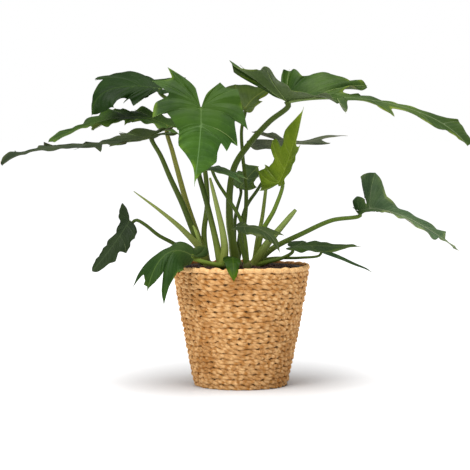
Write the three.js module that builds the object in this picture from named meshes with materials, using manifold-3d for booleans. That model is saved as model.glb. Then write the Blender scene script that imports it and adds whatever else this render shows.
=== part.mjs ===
// A potted philodendron lacerum: five shoots of lobed leaves in a grow pot that stands in a seagrass basket.
// Millimetres, +Z up. The origin is the centre of the basket's base, and the plant's front faces -Y.

import * as THREE from "three";
import { mergeVertices } from "three/addons/utils/BufferGeometryUtils.js";
import Module from "manifold-3d";

const wasm = await Module();
wasm.setup();

// Driving dimensions
const CLEARANCE = 0.3; // between pieces that touch in the real plant
const BASKET = {
  height: 186,
  baseRadius: 71.5,
  rimRadius: 106,
  ropeRows: 23,
  groove: 1.8, // depth of the valley between two rows of rope
  wall: 8,
  floor: 8,
  footInset: 6, // the bottom row rolls in under the base by this much
  segments: 40,
};
const GROW_POT = {
  baseRadius: 59,
  neckRadius: 90,
  lipRadius: 94,
  lipHeight: 6,
  lipFlare: 1, // how much wider the lip opens inside
  top: 182,
  wall: 1.6,
  segments: 40,
};
const SOIL = { edgeTop: 177, crown: 182, shoulder: 0.55, shoulderRise: 0.8, segments: 32 };
const STEM = { foot: 112, top: 188, domeHeight: 6, domeShoulder: 0.7, segments: 12 };
const STALK = { sides: 7, stepLength: 17, root: 184, approach: 7, tilt: 0.12 };
const BLADE = { thickness: 0.9, cuts: 2, bands: 2, bend: 25, cusp: 1.7, hindRoll: 0.06 };

const COLOURS = {
  rope: 0xc39a63,
  growPot: 0x1c1d1c,
  soil: 0x2a1d15,
  stalk: 0x6d8238,
  leaf: 0x2c5227,
  youngLeaf: 0x6f8f1f,
};

// Leaf outlines. Each row is [along, angle, reach, angle, reach, point]: a ray that leaves the midrib at
// "along" (0 at the stalk, 1 at the tip), then its angle from the direction of the tip and its length on the
// left and on the right half, in degrees and in midribs. Point tells how sharp a lobe is at that row: 1 if
// left out, 0 is round.
const OUTLINES = {
  front: [
    [0, 168, 0, 168, 0],
    [0, 160, 0.2, 168, 0.28],
    [0, 146, 0.43, 146, 0.71],
    [0, 136, 0.42, 142, 0.57],
    [0, 119, 0.52, 124, 0.71],
    [0, 102, 0.49, 118, 0.44],
    [0, 84, 0.52, 101, 0.56],
    [0, 67, 0.62, 78, 0.6],
    [0.05, 77, 0.42, 89, 0.41],
    [0.2, 64, 0.51, 75, 0.29, 0.5],
    [0.2, 62, 0.43, 69, 0.28],
    [0.22, 50, 0.44, 62, 0.29, 0.5],
    [0.3, 69, 0.29, 65, 0.285],
    [0.42, 65, 0.25, 71, 0.25, 0],
    [0.6, 79, 0.23, 81, 0.13, 0],
    [0.7, 85, 0.16, 75, 0.06],
    [0.8, 88, 0.065, 88, 0.025],
    [0.89, 90, 0.01, 90, 0.01],
    [1, 0, 0, 0, 0],
  ],
  longTrough: [
    [0, 130, 0, 124, 0],
    [0, 104, 0.165, 121, 0.315, 0.4],
    [0, 92, 0.195, 104, 0.33, 0.4],
    [0, 80, 0.19, 88, 0.3],
    [0, 61, 0.165, 76, 0.46, 0.6],
    [0.01, 55, 0.22, 70, 0.33],
    [0.03, 42, 0.265, 60, 0.13],
    [0.08, 36, 0.28, 50, 0.14],
    [0.12, 34, 0.285, 45, 0.17],
    [0.16, 31, 0.29, 36, 0.19, 0.6],
    [0.2, 33, 0.18, 30, 0.17],
    [0.24, 30, 0.09, 42, 0.12],
    [0.285, 25, 0.1, 62, 0.12],
    [0.3, 24, 0.1, 72, 0.4],
    [0.32, 22, 0.1, 60, 0.1],
    [0.42, 15, 0.08, 40, 0.1],
    [0.46, 18, 0.09, 45, 0.2],
    [0.51, 18, 0.09, 36, 0.08],
    [0.6, 24, 0.08, 28, 0.1],
    [0.68, 45, 0.09, 30, 0.11, 0],
    [0.76, 60, 0.14, 28, 0.09],
    [0.82, 75, 0.155, 25, 0.06, 0],
    [0.87, 75, 0.11, 20, 0.05],
    [0.92, 72, 0.09, 20, 0.03],
    [1, 0, 0, 0, 0],
  ],
  archedStrip: [
    [0, 168, 0, 168, 0],
    [0, 150, 0.15, 150, 0.2],
    [0, 110, 0.08, 105, 0.12],
    [0, 62, 0.1, 62, 0.13],
    [0.03, 38, 0.11, 38, 0.18],
    [0.08, 26, 0.16, 44, 0.23],
    [0.12, 26, 0.2, 34, 0.25, 0.3],
    [0.22, 47, 0.185, 31, 0.185],
    [0.28, 50, 0.125, 43, 0.233],
    [0.3, 30, 0.18, 46, 0.285],
    [0.36, 30, 0.2, 51, 0.29, 0.5],
    [0.42, 33, 0.26, 46, 0.25],
    [0.5, 20, 0.16, 39, 0.245],
    [0.6, 12, 0.12, 20, 0.16],
    [0.72, 20, 0.1, 34, 0.13],
    [0.82, 28, 0.12, 49, 0.16, 0],
    [0.93, 35, 0.05, 42, 0.075],
    [1, 0, 0, 0, 0],
  ],
  wavyStrip: [
    [0, 170, 0, 174, 0],
    [0, 152, 0.17, 170, 0.2, 0.5],
    [0, 140, 0.07, 164, 0.13],
    [0, 60, 0.05, 140, 0.1],
    [0.02, 30, 0.06, 74, 0.18],
    [0.06, 20, 0.09, 64, 0.24],
    [0.1, 20, 0.1, 42, 0.14],
    [0.16, 31, 0.19, 32, 0.15, 0.4],
    [0.25, 50, 0.08, 12, 0.11],
    [0.33, 74, 0.03, 10, 0.09],
    [0.35, 78, 0.22, 10, 0.09],
    [0.37, 68, 0.07, 10, 0.09],
    [0.42, 50, 0.15, 12, 0.08, 0],
    [0.5, 40, 0.1, 20, 0.09],
    [0.6, 47, 0.068, 73, 0.118, 0.3],
    [0.64, 25, 0.07, 35, 0.06],
    [0.72, 30, 0.045, 40, 0.05],
    [0.78, 35, 0.03, 66, 0.11, 0],
    [0.86, 30, 0.02, 75, 0.1],
    [0.93, 30, 0.015, 75, 0.06],
    [1, 0, 0, 0, 0],
  ],
  hooked: [
    [0, 168, 0, 168, 0],
    [0, 150, 0.14, 150, 0.32],
    [0, 62, 0.06, 112, 0.2],
    [0.02, 49, 0.22, 70, 0.19],
    [0.05, 49, 0.4, 66, 0.26],
    [0.08, 37, 0.35, 61, 0.37],
    [0.12, 36, 0.44, 56, 0.43],
    [0.16, 38, 0.28, 53, 0.5],
    [0.2, 29, 0.42, 44, 0.51],
    [0.25, 25, 0.58, 46, 0.38],
    [0.5, 21, 0.43, 32, 0.24],
    [0.75, 18, 0.22, 26, 0.1],
    [1, 0, 0, 0, 0],
  ],
  scalloped: [
    [0, 150, 0, 140, 0],
    [0, 115, 0.04, 136.5, 0.26],
    [0, 92, 0.08, 129.5, 0.42, 0.6],
    [0, 78, 0.13, 117, 0.35],
    [0, 68, 0.18, 106, 0.28],
    [0, 60, 0.23, 72, 0.18],
    [0.1, 56, 0.29, 28, 0.22],
    [0.2, 55, 0.25, 34, 0.19],
    [0.25, 55, 0.3, 29, 0.28, 0.5],
    [0.35, 53, 0.31, 25, 0.28],
    [0.45, 45, 0.21, 25, 0.26],
    [0.55, 50, 0.25, 26, 0.24, 0.5],
    [0.65, 48, 0.19, 28, 0.2],
    [0.78, 46, 0.15, 32, 0.14],
    [0.9, 52, 0.09, 40, 0.08],
    [1, 0, 0, 0, 0],
  ],
  clawed: [
    [0, 168, 0, 168, 0],
    [0, 110, 0.08, 140, 0.33],
    [0, 90, 0.14, 122, 0.44],
    [0, 78, 0.19, 94, 0.18],
    [0.05, 50, 0.36, 66, 0.23],
    [0.1, 28, 0.57, 48, 0.25],
    [0.2, 20, 0.73, 24, 0.38],
    [0.28, 16, 0.86, 28, 0.6],
    [0.3, 15, 0.66, 25, 0.71],
    [0.36, 19, 0.17, 20, 0.49],
    [0.42, 32, 0.18, 16, 0.46],
    [0.5, 22, 0.29, 11, 0.42, 0],
    [0.62, 20, 0.24, 11, 0.31],
    [0.8, 18, 0.12, 14, 0.14],
    [1, 0, 0, 0, 0],
  ],
  earUp: [
    [0, 168, 0, 168, 0],
    [0, 150, 0.06, 150, 0.11],
    [0, 112, 0.09, 125, 0.14, 0.4],
    [0, 82, 0.13, 100, 0.1, 0.4],
    [0.04, 66, 0.1, 80, 0.07],
    [0.085, 88, 0.05, 66, 0.07],
    [0.1, 94, 0.21, 60, 0.08],
    [0.1, 93, 0.31, 58, 0.08],
    [0.105, 85, 0.35, 56, 0.08],
    [0.11, 77, 0.385, 52, 0.09, 0.5],
    [0.13, 66, 0.3, 45, 0.1],
    [0.16, 50, 0.19, 30, 0.11],
    [0.24, 37, 0.17, 25, 0.14],
    [0.32, 29, 0.15, 33, 0.15],
    [0.42, 28, 0.16, 50, 0.19, 0],
    [0.55, 30, 0.19, 49, 0.18],
    [0.65, 35, 0.2, 54, 0.18, 0.5],
    [0.7, 30, 0.16, 45, 0.11],
    [0.8, 22, 0.07, 30, 0.05],
    [0.88, 30, 0.02, 30, 0.02],
    [0.93, 45, 0.03, 80, 0.06],
    [1, 0, 0, 0, 0],
  ],
  young: [
    [0, 166, 0, 150, 0],
    [0, 141, 0.33, 120, 0.05],
    [0, 126, 0.27, 100, 0.08],
    [0, 100, 0.36, 85, 0.11, 0.4],
    [0.01, 88, 0.3, 78, 0.15],
    [0.02, 77, 0.35, 72, 0.18],
    [0.05, 70, 0.25, 64, 0.23],
    [0.12, 52, 0.27, 60, 0.31],
    [0.18, 59, 0.39, 58, 0.37],
    [0.22, 54, 0.44, 58, 0.41, 0.5],
    [0.26, 46, 0.38, 58, 0.46],
    [0.29, 49, 0.25, 58, 0.49],
    [0.34, 48, 0.23, 57, 0.51],
    [0.42, 50, 0.25, 60, 0.3],
    [0.55, 52, 0.22, 60, 0.15],
    [0.78, 37, 0.1, 40, 0.09],
    [1, 0, 0, 0, 0],
  ],
  broadEars: [
    [0, 172, 0, 172, 0],
    [0, 171, 0.42, 170, 0.52, 0.4],
    [0, 168, 0.38, 166, 0.58],
    [0, 158, 0.27, 160, 0.6],
    [0, 148, 0.18, 152, 0.55, 0.3],
    [0, 140, 0.16, 148, 0.4],
    [0.02, 130, 0.15, 143, 0.32, 0.3],
    [0.06, 100, 0.07, 100, 0.1],
    [0.12, 60, 0.05, 40, 0.07],
    [0.26, 45, 0.05, 42, 0.07],
    [0.4, 38, 0.06, 30, 0.26],
    [0.5, 36, 0.06, 36, 0.07, 0],
    [0.75, 36, 0.06, 36, 0.04],
    [1, 0, 0, 0, 0],
  ],
  fan: [
    [0, 168, 0, 168, 0],
    [0, 100, 0.33, 110, 0.12],
    [0, 68, 0.58, 50, 0.18],
    [0, 45, 0.64, 26, 0.38],
    [0.2, 36, 0.5, 26, 0.2],
    [0.45, 30, 0.28, 30, 0.2],
    [0.7, 35, 0.14, 40, 0.09],
    [1, 0, 0, 0, 0],
  ],
  smallLobed: [
    [0, 150, 0, 150, 0],
    [0, 100, 0.1, 105, 0.24],
    [0, 80, 0.14, 71, 0.42, 0.4],
    [0.04, 50, 0.5, 61, 0.34],
    [0.08, 38, 0.62, 58, 0.32, 0.4],
    [0.2, 34, 0.48, 54, 0.27],
    [0.35, 33, 0.88, 50, 0.32],
    [0.6, 38, 0.42, 40, 0.2],
    [1, 0, 0, 0, 0],
  ],
  oneSpur: [
    [0, 168, 0, 168, 0],
    [0, 148, 0.12, 150, 0.2],
    [0.04, 90, 0.14, 64, 0.34],
    [0.1, 60, 0.14, 45, 0.42],
    [0.24, 42, 0.12, 36, 0.46, 0.3],
    [0.34, 34, 0.12, 19, 0.82],
    [0.5, 34, 0.12, 17, 0.26, 0],
    [0.75, 36, 0.09, 34, 0.1],
    [1, 0, 0, 0, 0],
  ],
  slender: [
    [0, 168, 0, 168, 0],
    [0, 130, 0.14, 130, 0.1],
    [0, 75, 0.21, 80, 0.14],
    [0.05, 62, 0.22, 60, 0.2],
    [0.15, 48, 0.2, 55, 0.27],
    [0.28, 45, 0.19, 52, 0.3, 0],
    [0.45, 40, 0.16, 44, 0.26],
    [0.65, 31, 0.17, 36, 0.14, 0],
    [0.85, 30, 0.07, 35, 0.05],
    [1, 0, 0, 0, 0],
  ],
  ribbon: [
    [0, 168, 0, 168, 0],
    [0, 140, 0.06, 140, 0.06],
    [0.05, 70, 0.09, 70, 0.08],
    [0.3, 40, 0.11, 40, 0.1, 0],
    [0.6, 35, 0.08, 35, 0.08],
    [0.85, 30, 0.05, 30, 0.04],
    [1, 0, 0, 0, 0],
  ],
  leftSpur: [
    [0, 168, 0, 168, 0],
    [0, 145, 0.17, 140, 0.08],
    [0, 104, 0.21, 100, 0.12],
    [0, 80, 0.12, 80, 0.14],
    [0.05, 45, 0.14, 50, 0.24],
    [0.2, 30, 0.12, 50, 0.33],
    [0.35, 28, 0.17, 41, 0.3],
    [0.45, 38, 0.26, 30, 0.28],
    [0.5, 38, 0.38, 20, 0.27],
    [0.58, 30, 0.16, 18, 0.24],
    [0.75, 25, 0.12, 20, 0.14],
    [1, 0, 0, 0, 0],
  ],
  ovate: [
    [0, 150, 0, 150, 0],
    [0, 112, 0.14, 112, 0.17],
    [0.03, 62, 0.25, 66, 0.28, 0.4],
    [0.12, 47, 0.26, 52, 0.3],
    [0.4, 36, 0.23, 44, 0.25],
    [0.7, 37, 0.12, 42, 0.13],
    [1, 0, 0, 0, 0],
  ],
};

// Leaves. "midrib" is four points from the stalk to the tip, "face" is the way the upper side looks, "fold"
// and "tipFold" are how far the left and right halves rise at the stalk and at the tip, "curl" is how far
// they bend on towards the margin, and "hind" is how far the lobes behind the stalk rise. "stalk" is the
// stalk's way from the stem, and "girth" its radius at the root and at the blade.
const LEAVES = [
  {
    name: "front",
    shoot: "front",
    outline: OUTLINES.front,
    midrib: [[-60, -70, 424], [-61, -86, 385], [-65, -94, 345], [-70, -95, 305]],
    face: [0, -1, 0.15],
    stalk: [[-40, -36, 232], [-52, -38, 282], [-65, -35, 331], [-68, -36, 377], [-65, -46, 410]],
    girth: [5, 3],
  },
  {
    name: "right_long",
    shoot: "middle",
    outline: OUTLINES.longTrough,
    midrib: [[70, 5, 436], [157, -30, 441], [261, -58, 421], [338, -80, 368]],
    face: [-0.05, -0.35, 1],
    fold: [42, 50],
    tipFold: [-8, -12],
    hind: 26,
    bend: 8,
    stalk: [[-17, 6, 254], [-17, 5, 300], [-9, 5, 338], [14, 5, 372], [44, 5, 405]],
    girth: [6, 4],
  },
  {
    name: "left_low",
    shoot: "left",
    outline: OUTLINES.wavyStrip,
    midrib: [[-137, -20, 383], [-208, -50, 373], [-297, -78, 364], [-355, -100, 339]],
    face: [0, -0.05, 1],
    fold: [-12, 12],
    tipFold: [-10, 10],
    bend: 8,
    stalk: [[-75, -5, 242], [-90, -10, 280], [-108, -14, 319], [-123, -18, 354]],
    girth: [5.5, 3.2],
  },
  {
    name: "left_mid",
    shoot: "left",
    outline: OUTLINES.archedStrip,
    midrib: [[-112, 44, 398], [-173, 58, 412], [-236, 70, 400], [-303, 80, 372]],
    face: [0, -0.12, 1],
    fold: [-18, 18],
    tipFold: [-16, 16],
    hind: 6,
    bend: 8,
    stalk: [[-69, 14, 235], [-83, 21, 276], [-95, 29, 318], [-106, 37, 358]],
    girth: [5.5, 3.2],
  },
  {
    name: "left_top",
    shoot: "left",
    outline: OUTLINES.hooked,
    midrib: [[-125, 40, 456], [-175, 36, 459], [-214, 22, 447], [-229, 10, 411]],
    face: [-0.2, -0.5, 1],
    fold: [-30, 10],
    tipFold: [-20, 0],
    hind: 12,
    stalk: [[-57, 20, 233], [-52, 28, 283], [-63, 36, 361], [-100, 42, 428]],
    girth: [4.5, 2.8],
  },
  {
    name: "left_hang",
    shoot: "left",
    outline: OUTLINES.scalloped,
    midrib: [[-170, -30, 253], [-183, -38, 233], [-201, -45, 208], [-226, -50, 178]],
    face: [-0.5, -1, 0.2],
    fold: [-10, -10],
    tipFold: [-10, -10],
    stalk: [[-101, -20, 218], [-126, -24, 232], [-146, -26, 248], [-160, -25, 255]],
    girth: [3.6, 2.4],
  },
  {
    name: "rim_left",
    shoot: "front",
    outline: OUTLINES.clawed,
    midrib: [[-72, -84, 204], [-101, -104, 213], [-124, -122, 195], [-139, -136, 152]],
    face: [-0.3, -0.8, 0.6],
    fold: [-25, -25],
    tipFold: [-25, -25],
    stalk: [[-30, -62, 188], [-51, -70, 193]],
    girth: [3.8, 2.8],
  },
  {
    name: "right_low",
    shoot: "right",
    outline: OUTLINES.earUp,
    midrib: [[182, 10, 268], [233, 22, 265], [287, 33, 240], [339, 40, 204]],
    face: [0.2, -0.12, 1],
    fold: [62, -6],
    tipFold: [25, -10],
    hind: 40,
    bend: 4,
    stalk: [[46, 6, 208], [95, 8, 233], [140, 9, 253]],
    girth: [4.5, 3],
  },
  {
    name: "young",
    shoot: "right",
    outline: OUTLINES.young,
    midrib: [[57, -40, 312], [71, -48, 345], [83, -55, 386], [94, -60, 427]],
    face: [-0.8, -0.6, 0.1],
    fold: [10, 24],
    tipFold: [10, 30],
    young: true,
    stalk: [[33, -20, 238], [51, -28, 272]],
    girth: [4.5, 2.8],
  },
  {
    name: "back_mid",
    shoot: "middle",
    outline: OUTLINES.broadEars,
    midrib: [[64, 96, 374], [101, 128, 372], [137, 158, 379], [173, 180, 381]],
    face: [0, -0.12, 1],
    fold: [42, -35],
    tipFold: [8, -16],
    hind: -5,
    stalk: [[6, 40, 267], [27, 56, 300], [50, 78, 336]],
    girth: [3.6, 1.8],
  },
  {
    name: "top_mid",
    shoot: "middle",
    outline: OUTLINES.fan,
    midrib: [[6, 25, 424], [20, 45, 441], [36, 68, 452], [55, 90, 463]],
    face: [-0.2, -1, 0.5],
    bend: 10,
    stalk: [[6, 22, 253], [8, 26, 299], [3, 30, 349], [1, 32, 392]],
    girth: [3.8, 2.4],
  },
  {
    name: "back_low",
    shoot: "middle",
    outline: OUTLINES.smallLobed,
    midrib: [[-1, 65, 301], [8, 80, 313], [19, 95, 325], [29, 110, 334]],
    face: [-0.3, -0.8, 0.5],
    bend: 10,
    stalk: [[-10, 36, 222], [-8, 52, 260]],
    girth: [3.4, 2.2],
  },
  {
    name: "thin",
    shoot: "inner",
    outline: OUTLINES.oneSpur,
    midrib: [[-44, -36, 336], [-29, -50, 334], [-9, -62, 327], [9, -75, 319]],
    face: [0, -0.25, 1],
    stalk: [[6, -33, 225], [0, -30, 254], [-17, -30, 284], [-34, -31, 310]],
    girth: [3.4, 2.4],
  },
  {
    name: "right_flat",
    shoot: "right",
    outline: OUTLINES.slender,
    midrib: [[77, -35, 215], [112, -48, 217], [146, -60, 217], [180, -70, 218]],
    face: [0, -0.35, 1],
    stalk: [[44, -24, 192], [64, -29, 198]],
    girth: [3.4, 2.4],
  },
  {
    name: "right_thin",
    shoot: "right",
    outline: OUTLINES.ribbon,
    midrib: [[124, 0, 206], [151, 8, 196], [177, 14, 185], [203, 20, 172]],
    face: [0.2, -0.45, 1],
    stalk: [[41, -3, 194], [91, -2, 196]],
    girth: [2.6, 1.8],
  },
  {
    name: "small",
    shoot: "inner",
    outline: OUTLINES.leftSpur,
    midrib: [[-5, -60, 247], [15, -74, 247], [40, -86, 237], [59, -95, 206]],
    face: [0, -0.5, 1],
    stalk: [[2, -48, 214]],
    girth: [3.2, 2.2],
  },
  {
    name: "rim_front",
    shoot: "front",
    outline: OUTLINES.ovate,
    midrib: [[-13, -76, 202], [-12, -95, 196], [-11, -110, 182], [-11, -113, 166]],
    face: [0.1, -1, 0.4],
    fold: [-8, -8],
    tipFold: [-14, -14],
    bend: 20,
    stalk: [[-24, -50, 191], [-18, -62, 195]],
    girth: [3, 2.2],
  },
];

// Shoots: where each stem stands in the soil, its radius, and its spears, which are rolled leaves and sheaths
const SHOOTS = [
  {
    name: "left",
    stem: [-52, 0],
    radius: 8.5,
    spears: [
      { path: [[-58, -10, 204], [-87, -20, 238], [-123, -25, 269], [-163, -30, 299]], girth: [6.5, 0.9] },
      { path: [[-60, -4, 200], [-64, -4, 216], [-68, -6, 232], [-74, -8, 246]], girth: [6, 2.5] },
    ],
  },
  {
    name: "front",
    stem: [-30, -35],
    radius: 8.5,
    spears: [
      { path: [[-25, -40, 207], [-27, -43, 233], [-37, -46, 279], [-47, -50, 320]], girth: [6.5, 2.4] },
    ],
  },
  {
    name: "middle",
    stem: [-7, 18],
    radius: 8.5,
    spears: [
      { path: [[-13, 20, 200], [-16, 24, 222], [-20, 28, 244], [-22, 33, 272]], girth: [5, 2] },
    ],
  },
  {
    name: "right",
    stem: [20, -5],
    radius: 8.5,
    spears: [
      { path: [[25, -10, 196], [41, -20, 220], [64, -28, 248], [83, -32, 271]], girth: [7, 3.6] },
      { path: [[22, 6, 198], [26, 10, 226], [32, 12, 253], [40, 12, 315]], girth: [4, 2.4] },
    ],
  },
  {
    name: "inner",
    stem: [9, -42],
    radius: 6.5,
    spears: [],
  },
];

const vector = (xyz) => new THREE.Vector3(...xyz);
const lerp = THREE.MathUtils.lerp;
const radians = THREE.MathUtils.degToRad;

// The slopes of the reach at both ends of one stretch of an outline: a lobe ends in a cusp, a notch is round.
function endSlopes(reaches, points, i) {
  const rise = reaches[i + 1] - reaches[i];
  const slopeAt = (k) => {
    if (k === 0 || k === reaches.length - 1) return rise / 2;
    const isLobe = reaches[k] > reaches[k - 1] && reaches[k] > reaches[k + 1];
    const isNotch = reaches[k] <= reaches[k - 1] && reaches[k] <= reaches[k + 1];
    if (isLobe) return BLADE.cusp * rise * points[k];
    return isNotch ? 0 : (reaches[k + 1] - reaches[k - 1]) / 2;
  };
  return [slopeAt(i), slopeAt(i + 1)];
}

// The rays of one half of a leaf, each stretch of the outline cut into equal steps.
function sampleHalf(outline, half) {
  const column = 1 + 2 * half;
  const reaches = outline.map((row) => row[column + 1]);
  const points = outline.map((row) => row[5] ?? 1);
  const rays = [];
  for (let i = 0; i < outline.length - 1; i += 1) {
    const [from, to] = [outline[i], outline[i + 1]];
    const [slope0, slope1] = endSlopes(reaches, points, i);
    for (let cut = 0; cut < BLADE.cuts; cut += 1) {
      const q = cut / BLADE.cuts;
      const reach =
        (2 * q ** 3 - 3 * q ** 2 + 1) * reaches[i] +
        (q ** 3 - 2 * q ** 2 + q) * slope0 +
        (3 * q ** 2 - 2 * q ** 3) * reaches[i + 1] +
        (q ** 3 - q ** 2) * slope1;
      rays.push({
        along: lerp(from[0], to[0], q),
        angle: radians(lerp(from[column], to[column], q)),
        reach: Math.max(reach, 0),
      });
    }
  }
  rays.push({ along: 1, angle: 0, reach: 0 });
  return rays;
}

// The frame of a leaf: a cubic midrib through its four points, at thirds of its way, with the normal and the
// left side along it.
function leafFrame({ midrib, face }) {
  const [start, p, q, end] = midrib.map(vector);
  const length = start.distanceTo(p) + p.distanceTo(q) + q.distanceTo(end);
  const mix = (a, b, c, d) =>
    start.clone().multiplyScalar(a).addScaledVector(p, b).addScaledVector(q, c).addScaledVector(end, d);
  const leaving = mix(-5 / 6, 3, -1.5, 1 / 3);
  const arriving = mix(1 / 3, -1.5, 3, -5 / 6);
  const curve = new THREE.CubicBezierCurve3(start, leaving, arriving, end);
  const frameAt = (u) => {
    const forward = curve.getTangent(u);
    const normal = vector(face);
    normal.addScaledVector(forward, -normal.dot(forward)).normalize();
    return { centre: curve.getPoint(u), forward, normal, left: normal.clone().cross(forward) };
  };
  return { length, frameAt };
}

// A point of a flat leaf, ahead of the stalk and aside of the midrib, in midribs. "Part" runs from 0 at the
// midrib to 1 at the margin. Rays bow towards the margin, as side veins do.
function flatPoint({ bend = BLADE.bend }, ray, part) {
  const bow = radians(bend) * (1 - part) * Math.sin(ray.angle) ** 2;
  const angle = Math.min(ray.angle + bow, Math.PI);
  const reach = ray.reach * part;
  return { ahead: ray.along + reach * Math.cos(angle), aside: reach * Math.sin(angle) };
}

// That point on the arched, folded leaf, on its left (0) or right (1) half.
function bladePoint(leaf, frame, half, flat) {
  const { fold = [0, 0], tipFold = [0, 0], curl = [0, 0], hind = 0 } = leaf;
  const { length } = frame;
  const u = THREE.MathUtils.clamp(flat.ahead, 0, 1);
  const aside = flat.aside * length;
  const behind = Math.max(-flat.ahead, 0) * length;
  const beyond = Math.max(flat.ahead - 1, 0) * length;
  const roll = radians(hind) * Math.min(behind / length / BLADE.hindRoll, 1);
  const folded = tipFold[half] + (fold[half] - tipFold[half]) * (1 - u) ** 2;
  const rise = radians(folded + curl[half] * flat.aside * 2);
  const { centre, forward, normal, left } = frame.frameAt(u);
  return centre
    .addScaledVector(forward, (beyond - behind) * Math.cos(roll))
    .addScaledVector(normal, behind * Math.sin(roll) + aside * Math.sin(rise))
    .addScaledVector(left, aside * Math.cos(rise) * (half === 0 ? 1 : -1));
}

// Twice the area of a flat triangle, negative where it runs backwards.
function flatArea(a, b, c) {
  return (b.ahead - a.ahead) * (c.aside - a.aside) - (c.ahead - a.ahead) * (b.aside - a.aside);
}

// The middle surface of a blade: shared points and the triangles between them, with no empty triangle. Each
// cell is cut along the diagonal whose two triangles both lie flat. Behind the stalk the first ray is the
// margin.
function bladeSurface(leaf) {
  const frame = leafFrame(leaf);
  const points = [];
  const indexOf = new Map();
  const triangles = [];
  const addPoint = (point) => {
    const key = point.toArray().map((v) => v.toFixed(3)).join();
    if (!indexOf.has(key)) {
      indexOf.set(key, points.length);
      points.push(point);
    }
    return indexOf.get(key);
  };
  for (const half of [0, 1]) {
    const grid = sampleHalf(leaf.outline, half).map((ray) =>
      Array.from({ length: BLADE.bands + 1 }, (_, j) => {
        const flat = flatPoint(leaf, ray, j / BLADE.bands);
        return { ...flat, index: addPoint(bladePoint(leaf, frame, half, flat)) };
      }),
    );
    for (let i = 0; i < grid.length - 1; i += 1) {
      for (let j = 0; j < BLADE.bands; j += 1) {
        const [a, b, c, d] = [grid[i][j], grid[i + 1][j], grid[i + 1][j + 1], grid[i][j + 1]];
        const throughA = Math.min(flatArea(a, b, c), flatArea(a, c, d));
        const throughB = Math.min(flatArea(b, c, d), flatArea(b, d, a));
        const cut = throughA >= throughB ? [[a, b, c], [a, c, d]] : [[b, c, d], [b, d, a]];
        for (const corners of cut) {
          const triangle = corners.map((corner) => corner.index);
          if (new Set(triangle).size < 3) continue;
          if (i === 0 && flatArea(...corners) <= 0) continue;
          triangles.push(half === 0 ? triangle : triangle.reverse());
        }
      }
    }
  }
  return { points, triangles };
}

// A closed plate round a surface: both faces have the same triangles, and a narrow wall joins them at the
// margin.
function thicken({ points, triangles }, thickness) {
  const normals = points.map(() => new THREE.Vector3());
  for (const [a, b, c] of triangles) {
    const ab = points[b].clone().sub(points[a]);
    const face = ab.cross(points[c].clone().sub(points[a]));
    [a, b, c].forEach((k) => normals[k].add(face));
  }
  const count = points.length;
  const units = normals.map((normal) => normal.clone().normalize());
  const offset = (side) => points.map((p, k) => p.clone().addScaledVector(units[k], side));
  const vertices = [...offset(thickness / 2), ...offset(-thickness / 2)];
  const edges = new Set(triangles.flatMap(([a, b, c]) => [`${a},${b}`, `${b},${c}`, `${c},${a}`]));
  const index = [];
  for (const [a, b, c] of triangles) {
    index.push(a, b, c, a + count, c + count, b + count);
  }
  for (const edge of edges) {
    const [a, b] = edge.split(",").map(Number);
    if (!edges.has(`${b},${a}`)) index.push(a, a + count, b + count, a, b + count, b);
  }
  return new THREE.BufferGeometry().setFromPoints(vertices).setIndex(index);
}

// A round stalk along a smooth path, which tapers from one radius to the other.
function stalkGeometry(path, [rootRadius, endRadius]) {
  const curve = new THREE.CatmullRomCurve3(path, false, "centripetal");
  const steps = Math.max(3, Math.round(curve.getLength() / STALK.stepLength));
  const frames = curve.computeFrenetFrames(steps);
  const vertices = [];
  const index = [];
  const { sides } = STALK;
  for (let i = 0; i <= steps; i += 1) {
    const centre = curve.getPointAt(i / steps);
    const radius = lerp(rootRadius, endRadius, i / steps);
    for (let k = 0; k < sides; k += 1) {
      const turn = (2 * Math.PI * k) / sides;
      vertices.push(
        centre
          .clone()
          .addScaledVector(frames.normals[i], radius * Math.cos(turn))
          .addScaledVector(frames.binormals[i], radius * Math.sin(turn)),
      );
    }
  }
  for (let i = 0; i < steps; i += 1) {
    for (let k = 0; k < sides; k += 1) {
      const next = (k + 1) % sides;
      const [a, b, c, d] = [i * sides + k, i * sides + next, (i + 1) * sides + next, (i + 1) * sides + k];
      index.push(a, b, c, a, c, d);
    }
  }
  const last = steps * sides;
  for (let k = 1; k < sides - 1; k += 1) {
    index.push(0, k + 1, k, last, last + k, last + k + 1);
  }
  return new THREE.BufferGeometry().setFromPoints(vertices).setIndex(index);
}

// The way of a leaf's stalk: out of the stem, through its own points and square to the blade's underside. Its
// end stops lower where the blade's halves fall away from the midrib, and by a share of its radius, as it may
// tilt.
function stalkPath(leaf, shoot) {
  const { centre, normal } = leafFrame(leaf).frameAt(0);
  const droop = radians(Math.max(0, ...(leaf.fold ?? [0]).map((fold) => -fold)));
  const drop = BLADE.thickness / 2 + CLEARANCE + leaf.girth[1] * (Math.sin(droop) + STALK.tilt);
  const seat = centre.clone().addScaledVector(normal, -drop);
  const approach = seat.clone().addScaledVector(normal, -STALK.approach);
  const root = new THREE.Vector3(...shoot.stem, STALK.root);
  return [root, ...leaf.stalk.map(vector), approach, seat];
}

// A body turned round the upright axis from [radius, height] points.
function lathe(profile, segments) {
  const outline = profile.map(([r, z]) => new THREE.Vector2(r, z));
  return new THREE.LatheGeometry(outline, segments).rotateX(Math.PI / 2);
}

// A closed solid from a geometry, and back again.
function toSolid(geometry) {
  const bare = geometry.clone();
  bare.deleteAttribute("normal");
  bare.deleteAttribute("uv");
  const merged = mergeVertices(bare, 1e-4);
  return new wasm.Manifold(
    new wasm.Mesh({
      numProp: 3,
      vertProperties: merged.attributes.position.array,
      triVerts: new Uint32Array(merged.index.array),
    }),
  );
}

function fromSolid(solid) {
  const { vertProperties, triVerts } = solid.getMesh();
  const geometry = new THREE.BufferGeometry();
  geometry.setAttribute("position", new THREE.BufferAttribute(new Float32Array(vertProperties), 3));
  geometry.setIndex(new THREE.BufferAttribute(new Uint32Array(triVerts), 1));
  return geometry;
}

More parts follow.
